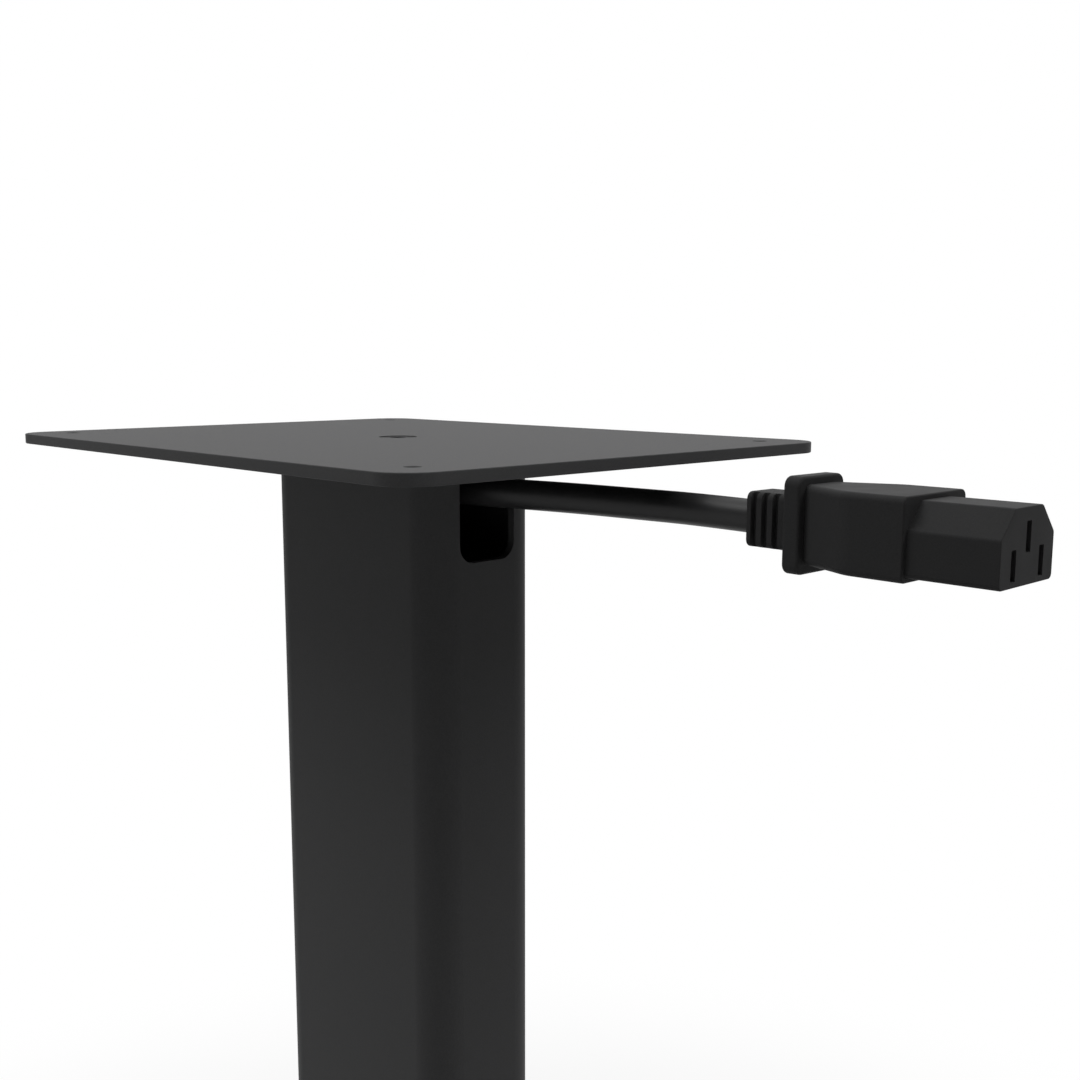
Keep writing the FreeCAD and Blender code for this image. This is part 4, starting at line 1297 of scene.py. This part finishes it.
class STAND_OT_connector(bpy.types.Operator):
    """Add the appliance connector on the lead's upper end"""

    bl_idname = "speaker_stand.connector"
    bl_label = "Appliance connector"
    bl_options = {"REGISTER", "UNDO"}

    def execute(self, context):
        settings = context.scene.speaker_stand
        size = settings.connector
        turn = Euler(size.turn).to_matrix().to_4x4()
        place = Matrix.Translation(size.place) @ turn
        shell = combine(grip_shape(size), collar_shape(size), "UNION")
        shell = moved(combine(shell, relief_shape(size), "UNION"), place)
        shell = piece("connector_grip", shell, "connector_pvc", "connector_shell")
        nose = moved(nose_shape(size), place)
        nose = piece("connector_nose", nose, "connector_pvc", "connector_insert")
        dress("connector_contacts", "contact_brass")
        return {"FINISHED"}


# ---------------------------------------------------------------- mains plug
PIN_HIDDEN = 2.0 * MM  # length of the blades and the pin inside the moulding


def section_loop(bm, width, height, corner, along):
    """The edges of a rounded rectangle across the Y axis."""
    made = bmesh.ops.create_grid(bm, x_segments=1, y_segments=1, size=0.5)["verts"]
    bmesh.ops.scale(bm, vec=(width, height, 1.0), verts=made)
    rounded = bmesh.ops.bevel(
        bm,
        geom=made,
        offset=corner,
        offset_type="OFFSET",
        segments=6,
        profile=0.5,
        affect="VERTICES",
        material=-1,
    )
    verts = rounded["verts"]
    bmesh.ops.rotate(
        bm, cent=(0.0, 0.0, 0.0), matrix=Matrix.Rotation(math.pi / 2, 3, "X"), verts=verts
    )
    bmesh.ops.translate(bm, vec=(0.0, along, 0.0), verts=verts)
    faces = {face for vert in verts for face in vert.link_faces}
    edges = {edge for face in faces for edge in face.edges}
    bmesh.ops.delete(bm, geom=list(faces), context="FACES_ONLY")
    return list(edges)


def plug_length(lead):
    return lead.relief_length + lead.plug_shoulder + lead.plug_barrel


def plug_shape(lead):
    """The plug's moulding: a slotted, tapering relief that swells into the body."""
    relief_corner, body_corner, face_edge = 5.0 * MM, 6.0 * MM, 1.2 * MM
    slots, first_slot, slot_pitch = 5, 4.0 * MM, 3.6 * MM
    slot_width, slot_inner, slot_reach, slot_edge = 1.4 * MM, 4.3 * MM, 9.0 * MM, 0.15 * MM
    swell_steps = 6
    bm = bmesh.new()
    loops = []
    for along in (0.0, 0.5, 1.0):
        grown = lead.relief_tail + (lead.relief_root - lead.relief_tail) * along**1.5
        loops.append(section_loop(bm, grown, grown, relief_corner, lead.relief_length * along))
    for number in range(1, swell_steps + 1):
        along = number / swell_steps
        swell = math.sin(along * math.pi / 2)
        wide = lead.relief_root + (lead.plug_width - lead.relief_root) * swell
        tall = lead.relief_root + (lead.plug_tall - lead.relief_root) * swell
        corner = relief_corner + (body_corner - relief_corner) * swell
        place = lead.relief_length + lead.plug_shoulder * along
        loops.append(section_loop(bm, wide, tall, corner, place))
    face = plug_length(lead)
    loops.append(section_loop(bm, lead.plug_width, lead.plug_tall, body_corner, face))
    for before, after in zip(loops, loops[1:]):
        bmesh.ops.bridge_loops(bm, edges=before + after)
    for end in (loops[0], loops[-1]):
        bmesh.ops.edgeloop_fill(bm, edges=end)
    close_up(bm)
    round_edges(bm, edges_level(bm, face, axis=1), face_edge, segments=4)
    middles = [first_slot + slot_pitch * number for number in range(slots)]
    bm = slotted(bm, middles, slot_width, slot_inner, slot_reach, slot_reach)
    return round_edges(bm, sharp_edges(bm), slot_edge, segments=2)


def blade_shape(lead, side, face):
    """A flat blade with a rounded tip and a hole."""
    tip_edge, hole_radius, hole_inset, hole_reach = 0.5 * MM, 1.6 * MM, 3.6 * MM, 10.0 * MM
    half = Vector((lead.blade_thickness / 2, 0.0, lead.blade_width / 2))
    middle = Vector((side * lead.blade_side, 0.0, lead.blade_rise))
    start = Vector((0.0, face - PIN_HIDDEN, 0.0))
    end = Vector((0.0, face + lead.blade_length, 0.0))
    blade = block(middle + start - half, middle + end + half)
    round_edges(blade, edges_level(blade, end.y, axis=1), tip_edge)
    hole = cylinder(hole_radius, -hole_reach, hole_reach, steps=24)
    across = Matrix.Rotation(math.pi / 2, 4, "Y")
    place = Matrix.Translation(middle + end - Vector((0.0, hole_inset, 0.0)))
    return cut(blade, moved(hole, place @ across))


def ground_pin_shape(lead, face):
    """A round pin with a domed tip."""
    radius = lead.ground_diameter / 2
    dome_low = lead.ground_length - radius
    angles = [math.radians(at) for at in range(0, 91, 15)]
    dome = [(radius * math.cos(at), dome_low + radius * math.sin(at)) for at in angles]
    pin = turned([(0.0, -PIN_HIDDEN), (radius, -PIN_HIDDEN), *dome], steps=32)
    lying = Matrix.Rotation(-math.pi / 2, 4, "X")
    place = Matrix.Translation((0.0, face, -lead.ground_drop))
    return moved(pin, place @ lying)


class STAND_OT_plug(bpy.types.Operator):
    """Add the mains plug at the end of the coil"""

    bl_idname = "speaker_stand.plug"
    bl_label = "Mains plug"
    bl_options = {"REGISTER", "UNDO"}

    def execute(self, context):
        lead = context.scene.speaker_stand.lead
        leave, along = coil_exit(lead)
        start = leave + along * lead.plug_start + Vector((0.0, 0.0, lead.plug_height))
        turn = Matrix.Rotation(math.atan2(-along.x, along.y), 4, "Z")
        place = Matrix.Translation(start) @ turn
        face = plug_length(lead)
        body = moved(plug_shape(lead), place)
        body = piece("plug_moulding", body, "connector_pvc", "plug_body")
        blades = gathered(blade_shape(lead, -1.0, face), blade_shape(lead, 1.0, face))
        blades = piece("plug_blade_pair", moved(blades, place), "contact_brass", "plug_blades")
        pin = moved(ground_pin_shape(lead, face), place)
        pin = piece("plug_ground", pin, "contact_brass", "plug_ground_pin")
        return {"FINISHED"}


def strap_shape(lead):
    """The strap round a section of the coil, with the end that overlaps on top."""
    slack, edge = 0.1 * MM, 0.15 * MM
    sunk, end_corner = 0.2 * MM, 2.0 * MM
    radius, thick = lead.diameter / 2, lead.strap_thickness
    across = Vector((0.0, lead.strap_width / 2, 0.0))
    room = Vector((slack, 0.0, slack))
    skin = Vector((thick, 0.0, thick))
    near = Vector((lead.coil_inner - radius, 0.0, lead.coil_low - radius)) - room
    far = Vector((lead.coil_outer + radius, 0.0, lead.coil_high + radius)) + room
    outside = bar(near - skin - across, far + skin + across, radius + thick, axis=1, segments=8)
    longer = 1.2 * across
    strap = cut(outside, bar(near - longer, far + longer, radius, axis=1, segments=8))
    top, narrower = far.z + thick, 0.9 * across.y
    low = Vector((near.x + slack + radius, -narrower, top - sunk))
    high = Vector((far.x - slack - radius, narrower, top + 0.7 * thick))
    strap = combine(strap, bar(low, high, end_corner, segments=4), "UNION")
    return round_edges(strap, sharp_edges(strap), edge, segments=2)


class STAND_OT_strap(bpy.types.Operator):
    """Add the strap that holds the coil together"""

    bl_idname = "speaker_stand.strap"
    bl_label = "Coil strap"
    bl_options = {"REGISTER", "UNDO"}

    def execute(self, context):
        lead = context.scene.speaker_stand.lead
        turn = Matrix.Rotation(lead.strap_at, 4, "Z")
        place = Matrix.Translation((lead.coil_x, lead.coil_y, 0.0)) @ turn
        piece("coil_strap", moved(strap_shape(lead), place), "tie_strap", "coil_tie")
        return {"FINISHED"}


# ---------------------------------------------------------------- sidebar
OPERATORS = (
    STAND_OT_studio,
    STAND_OT_top_cord,
    STAND_OT_lower_cord,
    STAND_OT_top_plate,
    STAND_OT_column,
    STAND_OT_base,
    STAND_OT_feet,
    STAND_OT_connector,
    STAND_OT_strap,
    STAND_OT_plug,
)


class STAND_PT_sidebar(bpy.types.Panel):
    """The stand's pieces, in the order in which they are made"""

    bl_label = "Speaker Stand"
    bl_idname = "STAND_PT_sidebar"
    bl_space_type = "VIEW_3D"
    bl_region_type = "UI"
    bl_category = "Speaker Stand"

    def draw(self, context):
        column = self.layout.column(align=True)
        for operator in OPERATORS:
            column.operator(operator.bl_idname)
        settings = context.scene.speaker_stand
        for group_name in ("finish", "steel", "foot", "connector", "lead", "studio"):
            group = getattr(settings, group_name)
            box = self.layout.box()
            for name in group.bl_rna.properties.keys():
                if name not in ("rna_type", "name"):
                    box.prop(group, name)


CLASSES = (
    FinishSettings,
    SteelSettings,
    FootSettings,
    ConnectorSettings,
    LeadSettings,
    StudioSettings,
    StandSettings,
    *OPERATORS,
    STAND_PT_sidebar,
)


def register():
    for item in CLASSES:
        bpy.utils.register_class(item)
    bpy.types.Scene.speaker_stand = PointerProperty(type=StandSettings)


def unregister():
    del bpy.types.Scene.speaker_stand
    for item in reversed(CLASSES):
        bpy.utils.unregister_class(item)


def main():
    register()
    for operator in OPERATORS:
        category, name = operator.bl_idname.split(".")
        getattr(getattr(bpy.ops, category), name)()


if __name__ == "__main__":
    main()
